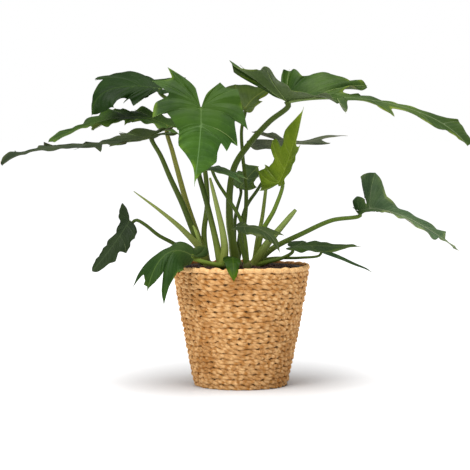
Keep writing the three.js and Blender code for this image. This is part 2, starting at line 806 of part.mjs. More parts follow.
// A stem with a domed top, or the plain hole for it when it is grown by a clearance.
function stemGeometry({ stem, radius }, grow, dome) {
  const { domeHeight, domeShoulder, top } = STEM;
  const foot = STEM.foot - grow;
  const domeTop = [[radius * domeShoulder, top + domeHeight * domeShoulder], [0, top + domeHeight]];
  const roof = dome ? domeTop : [[0, top]];
  const profile = [[0, foot], [radius + grow, foot], [radius + grow, top], ...roof];
  return lathe(profile, STEM.segments).translate(...stem, 0);
}

// A shoot: its stem, its leaves' stalks and its spears, as one solid.
function shootGeometry(shoot) {
  let plant = toSolid(stemGeometry(shoot, 0, true));
  for (const leaf of LEAVES.filter((item) => item.shoot === shoot.name)) {
    plant = plant.add(toSolid(stalkGeometry(stalkPath(leaf, shoot), leaf.girth)));
  }
  for (const spear of shoot.spears) {
    const root = new THREE.Vector3(...shoot.stem, STALK.root);
    plant = plant.add(toSolid(stalkGeometry([root, ...spear.path.map(vector)], spear.girth)));
  }
  return fromSolid(plant);
}

// The basket: rows of rope, each a ridge, up a flaring wall, with a flat base and a plain inner wall.
function basketGeometry() {
  const { height, baseRadius, rimRadius, ropeRows, groove, wall, floor, footInset, segments } = BASKET;
  const pitch = height / ropeRows;
  const radiusAt = (z) => lerp(baseRadius, rimRadius, z / height);
  const profile = [[0, 0], [baseRadius - footInset, 0]];
  for (let row = 0; row < ropeRows; row += 1) {
    const crest = (row + 0.5) * pitch;
    const valley = (row + 1) * pitch;
    profile.push([radiusAt(crest), crest]);
    if (row < ropeRows - 1) profile.push([radiusAt(valley) - groove, valley]);
  }
  profile.push([radiusAt(height) - wall / 2, height]);
  profile.push([radiusAt(height) - wall, height - pitch / 2]);
  profile.push([radiusAt(floor) - wall, floor]);
  profile.push([0, floor]);
  return lathe(profile, segments);
}

// The grow pot stands on the basket's floor. Its lip turns out at the top.
function growPotGeometry() {
  const { baseRadius, neckRadius, lipRadius, lipHeight, lipFlare, top, wall, segments } = GROW_POT;
  const foot = BASKET.floor + CLEARANCE;
  const profile = [
    [0, foot],
    [baseRadius, foot],
    [neckRadius, top - lipHeight],
    [lipRadius, top - lipHeight],
    [lipRadius, top],
    [neckRadius - wall + lipFlare, top],
    [neckRadius - wall, top - lipHeight],
    [baseRadius - wall, foot + wall],
    [0, foot + wall],
  ];
  return lathe(profile, segments);
}

// The soil fills the grow pot nearly to its brim and is heaped a little, with a plain hole at each stem.
function soilGeometry() {
  const { baseRadius, neckRadius, lipHeight, top, wall } = GROW_POT;
  const foot = BASKET.floor + CLEARANCE + wall;
  const neck = top - lipHeight;
  const innerAt = (z) => lerp(baseRadius - wall, neckRadius - wall, (z - foot) / (neck - foot)) - CLEARANCE;
  const bottom = foot + CLEARANCE;
  const profile = [
    [0, bottom],
    [innerAt(bottom), bottom],
    [innerAt(SOIL.edgeTop), SOIL.edgeTop],
    [innerAt(SOIL.edgeTop) * SOIL.shoulder, lerp(SOIL.edgeTop, SOIL.crown, SOIL.shoulderRise)],
    [0, SOIL.crown],
  ];
  let soil = toSolid(lathe(profile, SOIL.segments));
  for (const shoot of SHOOTS) {
    soil = soil.subtract(toSolid(stemGeometry(shoot, CLEARANCE, false)));
  }
  return fromSolid(soil);
}

const plant = new THREE.Group();

function addPiece(name, geometry, color, roughness, parent = plant) {
  const mesh = new THREE.Mesh(geometry, new THREE.MeshStandardMaterial({ color, roughness, metalness: 0 }));
  mesh.name = name;
  parent.add(mesh);
}

const pot = new THREE.Group();
plant.add(pot);
addPiece("basket", basketGeometry(), COLOURS.rope, 0.85, pot);
addPiece("grow_pot", growPotGeometry(), COLOURS.growPot, 0.5, pot);
addPiece("soil", soilGeometry(), COLOURS.soil, 0.95, pot);
for (const shoot of SHOOTS) {
  addPiece(`shoot_${shoot.name}`, shootGeometry(shoot), COLOURS.stalk, 0.5);
}
for (const leaf of LEAVES) {
  const color = leaf.young ? COLOURS.youngLeaf : COLOURS.leaf;
  addPiece(`blade_${leaf.name}`, thicken(bladeSurface(leaf), BLADE.thickness), color, 0.45);
}

export default plant;
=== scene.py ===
"""Potted philodendron lacerum: 17 lobed leaves on five shoots, in a grow pot inside a coiled seagrass basket.

Sizes are millimetres until a mesh is made. The plant's front faces -Y, and the origin is the middle of its base.

An edge stays sharp from the angle CREASE on, and one unit of UV is UV_UNIT long. A stretch of a path is drawn in
SPLINE_STEPS steps, and no path starts towards ASIDE. The part of a blade behind its stalk has rolled up fully at the
share HIND_REACH of the midrib, and the last two points of a stalk are STALK_LEAD and STALK_GAP under its blade. A rib
counts as FAR_AWAY from any vein. A leaf shorter than SMALL_LEAF has the coarse grid. A grid is (rays between two rows
of the outline, bands from the midrib to the margin).
"""

import logging
import math
from dataclasses import dataclass, field
from enum import Enum

import bpy
import numpy as np
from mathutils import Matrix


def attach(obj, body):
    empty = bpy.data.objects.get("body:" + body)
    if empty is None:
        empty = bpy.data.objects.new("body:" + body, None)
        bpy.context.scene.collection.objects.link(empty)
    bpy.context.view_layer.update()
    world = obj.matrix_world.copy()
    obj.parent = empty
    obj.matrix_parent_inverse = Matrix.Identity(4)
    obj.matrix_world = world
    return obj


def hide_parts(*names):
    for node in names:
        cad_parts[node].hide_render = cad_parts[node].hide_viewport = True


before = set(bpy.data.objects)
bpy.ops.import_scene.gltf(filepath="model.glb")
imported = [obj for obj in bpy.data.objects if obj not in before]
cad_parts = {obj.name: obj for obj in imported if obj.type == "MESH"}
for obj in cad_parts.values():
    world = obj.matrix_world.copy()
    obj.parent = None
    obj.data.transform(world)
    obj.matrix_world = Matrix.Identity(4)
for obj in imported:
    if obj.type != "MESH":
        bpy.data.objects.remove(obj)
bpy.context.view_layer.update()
LOG = logging.getLogger("plant")
MM = 0.001
BODY = "root"
CREASE = math.radians(55)
UV_UNIT = 10.0
SPLINE_STEPS = 24
ASIDE = (0.3, 1.0, 0.2)
HIND_REACH = 0.06
TIP_ROW = (1, 0, 0, 0, 0)
STALK_LEAD = 8.0
STALK_GAP = 0.4
FAR_AWAY = 99.0
SMALL_LEAF = 90.0
FINE_GRID = (8, 12)
COARSE_GRID = (6, 9)

Array = np.ndarray
Row = tuple[float, ...]
Point = tuple[float, float, float]
Colour = tuple[float, float, float]
Pair = tuple[float, float]
Random = np.random.Generator
Socket = bpy.types.NodeSocket
Material = bpy.types.Material
Materials = dict[str, bpy.types.Material]


class Graph:
    """The node tree of one material or world, with short calls that add and link nodes."""

    def __init__(self, owner: Material | bpy.types.World) -> None:
        """Empties the owner's tree."""
        owner.use_nodes = True
        self.owner = owner
        self.tree = owner.node_tree
        self.tree.nodes.clear()

    def add(self, kind: str, feeds: dict[int | str, object] | None = None, **settings: object) -> bpy.types.Node:
        """Adds a node.

        Args:
            kind: What the node is.
            feeds: For each of its inputs, the output that is linked to it or the value that is set.
            settings: Its own properties.

        Returns:
            The node.
        """
        node = self.tree.nodes.new(kind)
        for key, value in settings.items():
            setattr(node, key, value)
        for key, value in (feeds or {}).items():
            socket = node.inputs[key]
            if isinstance(value, Socket):
                self.tree.links.new(value, socket)
            else:
                opaque = isinstance(value, tuple) and socket.type == "RGBA"
                socket.default_value = (*value, 1.0) if opaque else value
        return node

    @property
    def object_space(self) -> Socket:
        """The place in the object's own space, in metres."""
        return self.add("ShaderNodeTexCoord").outputs["Object"]

    def attribute(self, name: str, output: str = "Fac") -> Socket:
        """The value of a mesh attribute."""
        return self.add("ShaderNodeAttribute", attribute_name=name).outputs[output]

    def math(self, operation: str, a: object, b: object) -> Socket:
        """The result of one sum on two values."""
        return self.add("ShaderNodeMath", {0: a, 1: b}, operation=operation).outputs[0]

    def fade(self, value: object, start: float, end: float, low: float = 0.0, high: float = 1.0) -> Socket:
        """Carries a value smoothly from low to high as it runs from start to end.

        Args:
            value: The output that is read.
            start: Where the result is still low.
            end: Where the result has become high.
            low: The result at start.
            high: The result at end.

        Returns:
            The output that holds the result.
        """
        feeds = dict(enumerate((value, start, end, low, high)))
        return self.add("ShaderNodeMapRange", feeds, interpolation_type="SMOOTHSTEP").outputs[0]

    def noise(self, scale: float, detail: float = 3.0, vector: object = None) -> Socket:
        """A noise between 0 and 1, with that many cells to the metre."""
        feeds = {"Vector": vector or self.object_space, "Scale": scale, "Detail": detail}
        return self.add("ShaderNodeTexNoise", feeds).outputs["Fac"]

    def streaks(self, scale: float, detail: float, stretch: float) -> Socket:
        """A noise on the mesh's own UV, whose cells are longer than wide by the stretch."""
        feeds = {"Vector": self.add("ShaderNodeUVMap").outputs[0], "Scale": (1.0, stretch, 1.0)}
        return self.noise(scale, detail, self.add("ShaderNodeMapping", feeds).outputs[0])

    def mix(self, share: object, a: object, b: object, blend: str = "MIX") -> Socket:
        """The colour a, with that share of the colour b."""
        feeds = {0: share, 6: a, 7: b}
        return self.add("ShaderNodeMix", feeds, data_type="RGBA", blend_type=blend).outputs[2]

    def tint(self, share: object, strength: float, a: object, b: object) -> Socket:
        """The colour a, with the colour b over it by the share times the strength."""
        return self.mix(self.math("MULTIPLY", share, strength), a, b)

    def bump(self, height: object, distance: float, strength: float) -> Socket:
        """A normal bent by a height, whose full range is a distance in metres."""
        feeds = {"Strength": strength, "Distance": distance, "Height": height}
        return self.add("ShaderNodeBump", feeds).outputs[0]

    def finish(
        self, colour: object, roughness: object, normal: object, specular: float, glow: float = 0.0
    ) -> Material:
        """Ends the tree with its shader.

        Args:
            colour: The base colour.
            roughness: The roughness.
            normal: The bent normal.
            specular: How strongly the surface mirrors, 0.5 for a usual one.
            glow: The share of the light that goes through the surface.

        Returns:
            The finished material.
        """
        feeds = {"Base Color": colour, "Roughness": roughness, "Normal": normal}
        shader = self.add("ShaderNodeBsdfPrincipled", feeds)
        shader.inputs["Specular IOR Level"].default_value = specular
        surface = shader.outputs[0]
        if glow > 0:
            through = self.add("ShaderNodeBsdfTranslucent", {"Color": colour}).outputs[0]
            surface = self.add("ShaderNodeMixShader", {0: glow, 1: surface, 2: through}).outputs[0]
        return self.end(surface)

    def end(self, surface: Socket) -> Material:
        """Links the surface to the tree's output and hands out the material."""
        self.add("ShaderNodeOutputMaterial", {"Surface": surface})
        return self.owner


@dataclass(frozen=True)
class LeafFinish:
    """One face of a leaf: its green, paler veins, side veins that fan out, and a yellower margin.

    The deep and light greens are mixed by noise. A main vein and the margin are told by their distance in
    millimetres, and side veins follow the leaf's own rays. Each scale is in noise cells to the metre, and limits are
    the noise values between which something comes in.
    """

    name: str
    deep: Colour
    light: Colour
    vein: Colour
    margin: Colour
    glow: float = 0.1
    patch_scale: float = 22.0
    patch_limits: Pair = (0.34, 0.66)
    fine_scale: float = 240.0
    fine_limits: Pair = (0.3, 0.8)
    fine_strength: float = 0.25
    side_veins: float = 2.0
    side_vein_width: float = 0.08
    side_vein_strength: float = 0.14
    vein_width: Pair = (0.385, 1.1)
    vein_strength: float = 0.65
    halo_width: float = 6.0
    halo_strength: float = 0.28
    margin_width: Pair = (0.3, 9.0)
    margin_scale: float = 26.0
    margin_limits: Pair = (0.46, 0.64)
    margin_strength: float = 0.5
    quilt_relief: float = 0.6
    fine_relief: float = 0.4
    vein_relief: float = 0.5
    relief_height: float = 0.0005
    relief_strength: float = 0.6
    gloss_scale: float = 60.0
    gloss_limits: Pair = (0.3, 0.7)
    roughness: Pair = (0.41, 0.54)
    specular: float = 0.1

    def material(self) -> Material:
        """Builds the leaf material."""
        graph = Graph(bpy.data.materials.new(self.name))
        patches = graph.fade(graph.noise(self.patch_scale, 4.0), *self.patch_limits)
        fine = graph.noise(self.fine_scale)
        green = graph.mix(patches, self.deep, self.light)
        green = graph.mix(graph.fade(fine, *self.fine_limits, 0.0, self.fine_strength), green, self.light)
        beside = graph.math("PINGPONG", graph.math("MULTIPLY", graph.attribute("ray"), self.side_veins), 0.5)
        side_vein = graph.fade(beside, 0.0, self.side_vein_width, 1.0, 0.0)
        green = graph.tint(side_vein, self.side_vein_strength, green, self.vein)
        distance = graph.attribute("vein")
        halo = graph.fade(distance, 0.0, self.halo_width, self.halo_strength, 0.0)
        main_vein = graph.fade(distance, *self.vein_width, 1.0, 0.0)
        green = graph.mix(halo, green, self.light)
        green = graph.tint(main_vein, self.vein_strength, green, self.vein)
        edge = graph.fade(graph.attribute("edge"), *self.margin_width, 1.0, 0.0)
        broken = graph.fade(graph.noise(self.margin_scale, 2.0), *self.margin_limits)
        green = graph.tint(graph.math("MULTIPLY", edge, broken), self.margin_strength, green, self.margin)
        green = graph.mix(1.0, green, graph.attribute("tone", "Color"), "MULTIPLY")
        quilt = graph.math("MULTIPLY", graph.fade(beside, 0.0, 0.5), self.quilt_relief)
        relief = graph.math("ADD", quilt, graph.math("MULTIPLY", fine, self.fine_relief))
        relief = graph.math("SUBTRACT", relief, graph.math("MULTIPLY", main_vein, self.vein_relief))
        normal = graph.bump(relief, self.relief_height, self.relief_strength)
        roughness = graph.fade(graph.noise(self.gloss_scale), *self.gloss_limits, *self.roughness)
        return graph.finish(green, roughness, normal, self.specular, self.glow)


@dataclass(frozen=True)
class StalkFinish:
    """The skin of leaf stalks, whose tone is carried by the mesh, with fine lengthwise lines and flecks. That tone is
    their own colour, darkened as painted shade on stalks that stand in shade.
    """

    name: str
    fleck: Colour
    line_scale: float = 1.6
    line_stretch: float = 14.0
    line_limits: Pair = (0.3, 0.7)
    line_strength: float = 0.18
    line_height: float = 0.00025
    line_relief: float = 0.8
    fleck_scale: float = 420.0
    fleck_limits: Pair = (0.6, 0.74)
    fleck_strength: float = 0.15
    roughness: float = 0.38
    specular: float = 0.12
    glow: float = 0.03

    def material(self) -> Material:
        """Builds the stalk material."""
        graph = Graph(bpy.data.materials.new(self.name))
        lines = graph.streaks(self.line_scale, 4.0, self.line_stretch)
        flecks = graph.fade(graph.noise(self.fleck_scale, 2.0), *self.fleck_limits)
        drawn = graph.fade(lines, *self.line_limits, 0.0, self.line_strength)
        colour = graph.mix(drawn, graph.attribute("tone", "Color"), self.fleck)
        colour = graph.tint(flecks, self.fleck_strength, colour, self.fleck)
        normal = graph.bump(lines, self.line_height, self.line_relief)
        return graph.finish(colour, self.roughness, normal, self.specular, self.glow)


@dataclass(frozen=True)
class RopeFinish:
    """Dry twisted seagrass: fibres along each strand, strands of different tone and browner patches.

    The mesh carries each strand's shade, and how deep in the gaps a point lies. The gaps are darkened by that
    depth as painted shade.
    """

    name: str
    light: Colour
    tan: Colour
    brown: Colour
    gap_shade: Colour
    shade_limits: Pair = (0.25, 0.8)
    dark_limits: Pair = (0.3, 0.05)
    dark_strength: float = 0.6
    patch_scale: float = 26.0
    patch_limits: Pair = (0.5, 0.68)
    patch_strength: float = 0.55
    fibre_scale: float = 0.7
    fibre_stretch: float = 9.0
    pale_limits: Pair = (0.5, 0.75)
    brown_limits: Pair = (0.46, 0.3)
    fibre_strength: float = 0.5
    gap_shade_limits: Pair = (0.2, 0.95)
    gap_shade_strength: float = 0.85
    fibre_height: float = 0.0008
    roughness: float = 0.76
    specular: float = 0.12

    def material(self) -> Material:
        """Builds the rope material."""
        graph = Graph(bpy.data.materials.new(self.name))
        fibres = graph.streaks(self.fibre_scale, 5.0, self.fibre_stretch)
        shade = graph.attribute("shade")
        patches = graph.fade(graph.noise(self.patch_scale), *self.patch_limits)
        colour = graph.mix(graph.fade(shade, *self.shade_limits), self.tan, self.light)
        colour = graph.tint(patches, self.patch_strength, colour, self.brown)
        for value, limits, strength, over in (
            (shade, self.dark_limits, self.dark_strength, self.brown),
            (fibres, self.pale_limits, self.fibre_strength, self.light),
            (fibres, self.brown_limits, self.fibre_strength, self.brown),
            # the gaps between the strands, darkened as painted shade
            (graph.attribute("depth"), self.gap_shade_limits, self.gap_shade_strength, self.gap_shade),
        ):
            colour = graph.mix(graph.fade(value, *limits, 0.0, strength), colour, over)
        return graph.finish(colour, self.roughness, graph.bump(fibres, self.fibre_height, 1.0), self.specular)


@dataclass(frozen=True)
class SoilFinish:
    """Dark crumbly soil with browner bark bits and damp spots."""

    name: str
    dark: Colour
    brown: Colour
    grain_scale: float = 320.0
    grain_limits: Pair = (0.35, 0.7)
    grain_height: float = 0.0012
    shade_strength: float = 0.8
    roughness: float = 0.9
    specular: float = 0.3

    def material(self) -> Material:
        """Builds the soil material."""
        graph = Graph(bpy.data.materials.new(self.name))
        grain = graph.noise(self.grain_scale, 5.0)
        colour = graph.mix(graph.fade(grain, *self.grain_limits), self.dark, self.brown)
        colour = graph.tint(graph.attribute("shade"), self.shade_strength, colour, self.brown)
        return graph.finish(colour, self.roughness, graph.bump(grain, self.grain_height, 1.0), self.specular)


@dataclass(frozen=True)
class PlasticFinish:
    """Thin black moulded plastic, a little dusty, with a fine grain."""

    name: str
    black: Colour
    dust: Colour
    dust_scale: float = 45.0
    dust_limits: Pair = (0.35, 0.7)
    dust_share: Pair = (0.1, 0.85)
    grain_scale: float = 900.0
    grain_height: float = 0.0002
    grain_strength: float = 0.5
    roughness: float = 0.6
    specular: float = 0.3

    def material(self) -> Material:
        """Builds the plastic material."""
        graph = Graph(bpy.data.materials.new(self.name))
        dust = graph.fade(graph.noise(self.dust_scale, 4.0), *self.dust_limits, *self.dust_share)
        grain = graph.bump(graph.noise(self.grain_scale, 2.0), self.grain_height, self.grain_strength)
        return graph.finish(graph.mix(dust, self.black, self.dust), self.roughness, grain, self.specular)


@dataclass(frozen=True)
class FloorFinish:
    """The plain white studio floor, which glows as a painted light away from the plant. Because the glow fades out
    towards the plant, it paints a soft shade round it, over the real soft shadow.

    The glow is the strength of that painted light. It grows over the reach, in metres from the plant, measured along
    ovals that are twice as long as wide.
    """

    name: str
    white: Colour
    worn: Colour = (0.62, 0.62, 0.63)
    worn_scale: float = 3.0
    worn_limits: Pair = (0.3, 0.7)
    worn_strength: float = 0.02
    oval: Point = (1.0, 0.5, 1.0)
    reach: Pair = (0.08, 0.42)
    painted_glow: Pair = (0.0, 0.75)

    def material(self) -> Material:
        """Builds the floor material."""
        graph = Graph(bpy.data.materials.new(self.name))
        worn = graph.fade(graph.noise(self.worn_scale, 2.0), *self.worn_limits, 0.0, self.worn_strength)
        diffuse = graph.add("ShaderNodeBsdfDiffuse", {"Color": graph.mix(worn, self.white, self.worn)})
        feeds = {0: graph.object_space, 1: self.oval}
        oval = graph.add("ShaderNodeVectorMath", feeds, operation="MULTIPLY")
        distance = graph.add("ShaderNodeVectorMath", {0: oval.outputs[0]}, operation="LENGTH")
        # the floor's painted glow, which fades out towards the plant, so that a painted shade lies round it
        painted_glow = graph.fade(distance.outputs["Value"], *self.reach, *self.painted_glow)
        light = graph.add("ShaderNodeEmission", {"Strength": painted_glow})
        both = graph.add("ShaderNodeAddShader", {0: diffuse.outputs[0], 1: light.outputs[0]})
        return graph.end(both.outputs[0])


class Tone(Enum):
    """The greens of the leaves: the top face and the underside of each kind."""

    DEEP = (
        LeafFinish(
            "leaf_deep", deep=(0.012, 0.036, 0.008), light=(0.024, 0.062, 0.012),
            vein=(0.06, 0.11, 0.035), margin=(0.07, 0.14, 0.02),
        ),
        LeafFinish(
            "leaf_deep_under", deep=(0.035, 0.065, 0.02), light=(0.055, 0.095, 0.03),
            vein=(0.1, 0.15, 0.05), margin=(0.08, 0.14, 0.03),
        ),
    )
    DUSKY = (
        LeafFinish(
            "leaf_dusky", deep=(0.011, 0.021, 0.007), light=(0.021, 0.036, 0.011),
            vein=(0.04, 0.062, 0.024), margin=(0.03, 0.05, 0.014),
        ),
        LeafFinish(
            "leaf_dusky_under", deep=(0.04, 0.055, 0.024), light=(0.062, 0.08, 0.036),
            vein=(0.1, 0.12, 0.06), margin=(0.06, 0.08, 0.03),
        ),
    )
    MID = (
        LeafFinish(
            "leaf_mid", deep=(0.015, 0.044, 0.004), light=(0.036, 0.086, 0.007),
            vein=(0.1, 0.17, 0.045), margin=(0.16, 0.27, 0.012),
        ),
        LeafFinish(
            "leaf_mid_under", deep=(0.05, 0.09, 0.02), light=(0.075, 0.125, 0.03),
            vein=(0.14, 0.2, 0.06), margin=(0.15, 0.22, 0.03),
        ),
    )
    LIME = (
        LeafFinish(
            "leaf_lime", deep=(0.052, 0.09, 0.002), light=(0.092, 0.138, 0.004),
            vein=(0.15, 0.21, 0.02), margin=(0.04, 0.08, 0.004), glow=0.16,
        ),
        LeafFinish(
            "leaf_lime_under", deep=(0.1, 0.145, 0.022), light=(0.14, 0.185, 0.035),
            vein=(0.2, 0.26, 0.07), margin=(0.09, 0.14, 0.02), glow=0.16,
        ),
    )


RIB = StalkFinish("leaf_rib", fleck=(0.14, 0.2, 0.06))
STALK = StalkFinish("stalk_skin", fleck=(0.14, 0.19, 0.035))
ROPE = RopeFinish(
    "seagrass", light=(0.71, 0.44, 0.198), tan=(0.48, 0.237, 0.076), brown=(0.33, 0.122, 0.016),
    # the colour of the painted shade in the gaps
    gap_shade=(0.15, 0.05, 0.006),
)
# The inside of the basket: the same seagrass as the rope, darkened as painted shade.
SHADED_LINER = RopeFinish(
    "seagrass_inside_painted_shade", light=(0.3, 0.18, 0.08), tan=(0.22, 0.12, 0.05), brown=(0.12, 0.06, 0.02),
    gap_shade=(0.04, 0.02, 0.01),
)
SOIL = SoilFinish("potting_soil", dark=(0.016, 0.008, 0.006), brown=(0.085, 0.042, 0.026))
POT = PlasticFinish("pot_plastic", black=(0.013, 0.011, 0.01), dust=(0.06, 0.036, 0.022))
FLOOR = FloorFinish("studio_floor", white=(0.64, 0.64, 0.65))


def unit(vectors: Array) -> Array:
    """The vectors, each made one long."""
    return vectors / np.maximum(np.linalg.norm(vectors, axis=-1, keepdims=True), 1e-9)


def square_to(vectors: Array, along: Array) -> Array:
    """The vectors, each less its part along a unit direction and made one long."""
    return unit(vectors - along * (vectors * along).sum(-1, keepdims=True))


def ring_angles(count: int) -> Array:
    """The angles of the points of a ring, in radians."""
    return np.linspace(0, 2 * math.pi, count, endpoint=False)


def wander(at: Array, wavelength: float, rng: Random, waves: int = 6) -> Array:
    """A smooth random curve around 0, the sum of sine waves of about that wavelength, each with its own start."""
    lengths = wavelength * rng.uniform(0.6, 1.9, waves)
    starts = rng.uniform(0, 2 * math.pi, waves)
    return np.sin(2 * math.pi * at[..., None] / lengths + starts).sum(-1) / math.sqrt(waves / 2)


@dataclass(frozen=True)
class Waver:
    """A smooth random curve around 0 that closes on itself after one turn: its size and its range of cycles."""

    size: float
    fewest: int
    most: int
    waves: int = 6

    def at(self, turn: Array, rng: Random) -> Array:
        """The sum of sine waves of whole numbers of cycles, each with its own start, at angles in radians."""
        counts = rng.integers(self.fewest, self.most + 1, self.waves)
        starts = rng.uniform(0, 2 * math.pi, self.waves)
        return self.size * (np.sin(turn[..., None] * counts + starts).sum(-1) / math.sqrt(self.waves / 2))


def lengths_along(path: Array) -> Array:
    """The distance from the path's start to each of its points."""
    return np.concatenate([[0.0], np.cumsum(np.linalg.norm(np.diff(path, axis=0), axis=1))])


def spline(points: Array, step: float) -> Array:
    """A smooth path through the points.

    Each stretch is the centripetal Catmull-Rom curve, in which the pace between two points is the square root of
    their distance.

    Args:
        points: The points, one row each.
        step: The distance between two points of the path.

    Returns:
        The points of the path, evenly spread.
    """
    ends = np.vstack([2 * points[0] - points[1], points, 2 * points[-1] - points[-2]])
    path = []
    for p0, p1, p2, p3 in zip(ends, ends[1:], ends[2:], ends[3:]):
        paces = (np.linalg.norm(b - a) ** 0.5 for a, b in ((p0, p1), (p1, p2), (p2, p3)))
        t0, t1, t2, t3 = np.cumsum([0.0, *paces])
        t = np.linspace(t1, t2, SPLINE_STEPS, endpoint=False)[:, None]
        a1 = (t1 - t) / (t1 - t0) * p0 + (t - t0) / (t1 - t0) * p1
        a2 = (t2 - t) / (t2 - t1) * p1 + (t - t1) / (t2 - t1) * p2
        a3 = (t3 - t) / (t3 - t2) * p2 + (t - t2) / (t3 - t2) * p3
        b1 = (t2 - t) / (t2 - t0) * a1 + (t - t0) / (t2 - t0) * a2
        b2 = (t3 - t) / (t3 - t1) * a2 + (t - t1) / (t3 - t1) * a3
        path.append((t2 - t) / (t2 - t1) * b1 + (t - t1) / (t2 - t1) * b2)
    fine = np.vstack([*path, points[-1:]])
    along = lengths_along(fine)
    even = np.linspace(0, along[-1], max(4, round(along[-1] / step) + 1))
    return np.stack([np.interp(even, along, fine[:, axis]) for axis in range(3)], 1)


def linked(name: str, data: bpy.types.ID) -> bpy.types.Object:
    """A new object of that data, in the scene."""
    thing = bpy.data.objects.new(name, data)
    bpy.context.scene.collection.objects.link(thing)
    return thing


@dataclass
class Mesh:
    """Points in millimetres, triangles between them, and what each point or triangle carries for its material."""

    points: Array
    triangles: Array
    values: dict[str, Array] = field(default_factory=dict)
    uv: Array | None = None
    finishes: Array | None = None

    @staticmethod
    def joined(meshes: list["Mesh"]) -> "Mesh":
        """One mesh of several, which all carry the same kinds of value."""
        firsts = np.cumsum([0, *(len(mesh.points) for mesh in meshes[:-1])])
        return Mesh(
            np.vstack([mesh.points for mesh in meshes]),
            np.vstack([mesh.triangles + first for mesh, first in zip(meshes, firsts)]),
            {key: np.concatenate([mesh.values[key] for mesh in meshes]) for key in meshes[0].values},
            None if meshes[0].uv is None else np.vstack([mesh.uv for mesh in meshes]),
            None if meshes[0].finishes is None else np.concatenate([mesh.finishes for mesh in meshes]),
        )

    def piece(self, name: str, slot: str, nodes: tuple[str, ...], materials: list[Material]) -> bpy.types.Object:
        """Makes the Blender piece.

        Args:
            name: Its name.
            slot: Not used.
            nodes: The CAD nodes it stands for.
            materials: Its materials, which the triangles' finishes count into.

        Returns:
            The new object, which rides on the body.
        """
        mesh = bpy.data.meshes.new(name)
        mesh.from_pydata((self.points * MM).tolist(), [], self.triangles.tolist())
        mesh.update(calc_edges=True)
        for key, value in self.values.items():
            flat = value.ndim == 1
            layer = mesh.attributes.new(key, "FLOAT" if flat else "FLOAT_COLOR", "POINT")
            layer.data.foreach_set("value" if flat else "color", value.astype(np.float32).ravel())
        if self.uv is not None:
            corners = np.empty(len(mesh.loops), dtype=np.int32)
            mesh.loops.foreach_get("vertex_index", corners)
            mesh.uv_layers.new(name="skin").data.foreach_set("uv", self.uv[corners].astype(np.float32).ravel())
        for material in materials:
            mesh.materials.append(material)
        if self.finishes is not None:
            mesh.polygons.foreach_set("material_index", self.finishes.astype(np.int32))
        mesh.polygons.foreach_set("use_smooth", np.ones(len(mesh.polygons), dtype=bool))
        mesh.set_sharp_from_angle(angle=CREASE)
        mesh.update()
        piece = linked(name, mesh)
        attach(piece, BODY)
        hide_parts(*nodes)
        LOG.info("%s: %d triangles", name, len(self.triangles))
        return piece


def tube_triangles(rings: int, sides: int, joined: bool = False) -> Array:
    """The triangles of a tube.

    Args:
        rings: The number of its rings.
        sides: The number of points of a ring.
        joined: Whether the last ring joins the first. If not, each end is closed by a point after the rings' own.

    Returns:
        The triangles, those of the ends last.
    """
    i, j = np.meshgrid(np.arange(rings - 1), np.arange(sides), indexing="ij")
    after = (j + 1) % sides
    a, b, c, d = i * sides + j, i * sides + after, (i + 1) * sides + after, (i + 1) * sides + j
    k = np.arange(sides)
    after, last, foot = (k + 1) % sides, (rings - 1) * sides, np.full(sides, rings * sides)
    if joined:
        ends = [(last + k, last + after, after), (last + k, after, k)]
    else:
        ends = [(foot, after, k), (foot + 1, last + k, last + after)]
    return np.concatenate([np.stack(part, -1).reshape(-1, 3) for part in [(a, b, c), (a, c, d), *ends]])


def rings_round(
    middle: Array, radius: Array, first: Array, second: Array, sides: int, oval: float = 1.0
) -> Array:
    """The rings of points round a path.

    A point is the middle plus the radius times the cosine of its angle along the first direction and the sine of it,
    times the oval, along the second.

    Args:
        middle: The middle of each ring.
        radius: The radius of each ring.
        first: The first direction across each ring.
        second: The second direction across each ring.
        sides: The number of points of a ring.
        oval: How much wider a ring is along its second direction.

    Returns:
        The points, rings by sides.
    """
    turn = ring_angles(sides)
    across = np.cos(turn)[:, None] * first[:, None] + oval * np.sin(turn)[:, None] * second[:, None]
    return middle[:, None] + radius[:, None, None] * across


def uv_grid(u: Array, v: Array) -> Array:
    """The pairs of two coordinates that are spread over the same grid."""
    return np.stack(np.broadcast_arrays(u, v), -1).reshape(-1, 2)


def there_and_back(count: int) -> Array:
    """Numbers that fall from 1 to 0 and rise again round a ring, so that they meet without a seam."""
    return np.abs(np.linspace(-1, 1, count, endpoint=False))


def tube(path: Array, radii: Array, sides: int) -> Mesh:
    """A round tube along a path, in which each ring is square to the path.

    A ring's first direction is the last ring's, bent as little as the path bends. Both ends are closed by a point.

    Args:
        path: The middle of each ring.
        radii: The radius of each ring.
        sides: The number of points of a ring.

    Returns:
        The tube. Its UV is the length along the path in centimetres and the place round the ring.
    """
    forward = unit(np.gradient(path, axis=0))
    first = np.empty_like(path)
    across = unit(np.cross(forward[0], ASIDE))
    for k, direction in enumerate(forward):
        across = unit(across - direction * (across @ direction))
        first[k] = across
    rings = rings_round(path, radii, first, np.cross(forward, first), sides)
    along = lengths_along(path) / UV_UNIT
    uv = np.vstack([uv_grid(along[:, None], there_and_back(sides)), [[along[0], 0.0], [along[-1], 0.0]]])
    points = np.vstack([rings.reshape(-1, 3), path[:1], path[-1:]])
    return Mesh(points, tube_triangles(len(path), sides), uv=uv)


def lathe(profile: Array, segments: int) -> Mesh:
    """A closed shape turned round Z from a profile of (radius, height) rows, which starts and ends on the axis."""
    turn = ring_angles(segments)
    inner = profile[1:-1]
    radius, height = inner[:, None, 0], inner[:, None, 1]
    rings = np.stack(np.broadcast_arrays(radius * np.cos(turn), radius * np.sin(turn), height), -1)
    points = np.vstack([rings.reshape(-1, 3), [[0, 0, profile[0, 1]], [0, 0, profile[-1, 1]]]])
    along = lengths_along(inner) / UV_UNIT
    around = there_and_back(segments) * profile[:, 0].max() * math.pi / UV_UNIT
    uv = np.vstack([uv_grid(around, along[:, None]), [[0.0, 0.0], [0.0, along[-1]]]])
    return Mesh(points, tube_triangles(len(inner), segments), uv=uv)


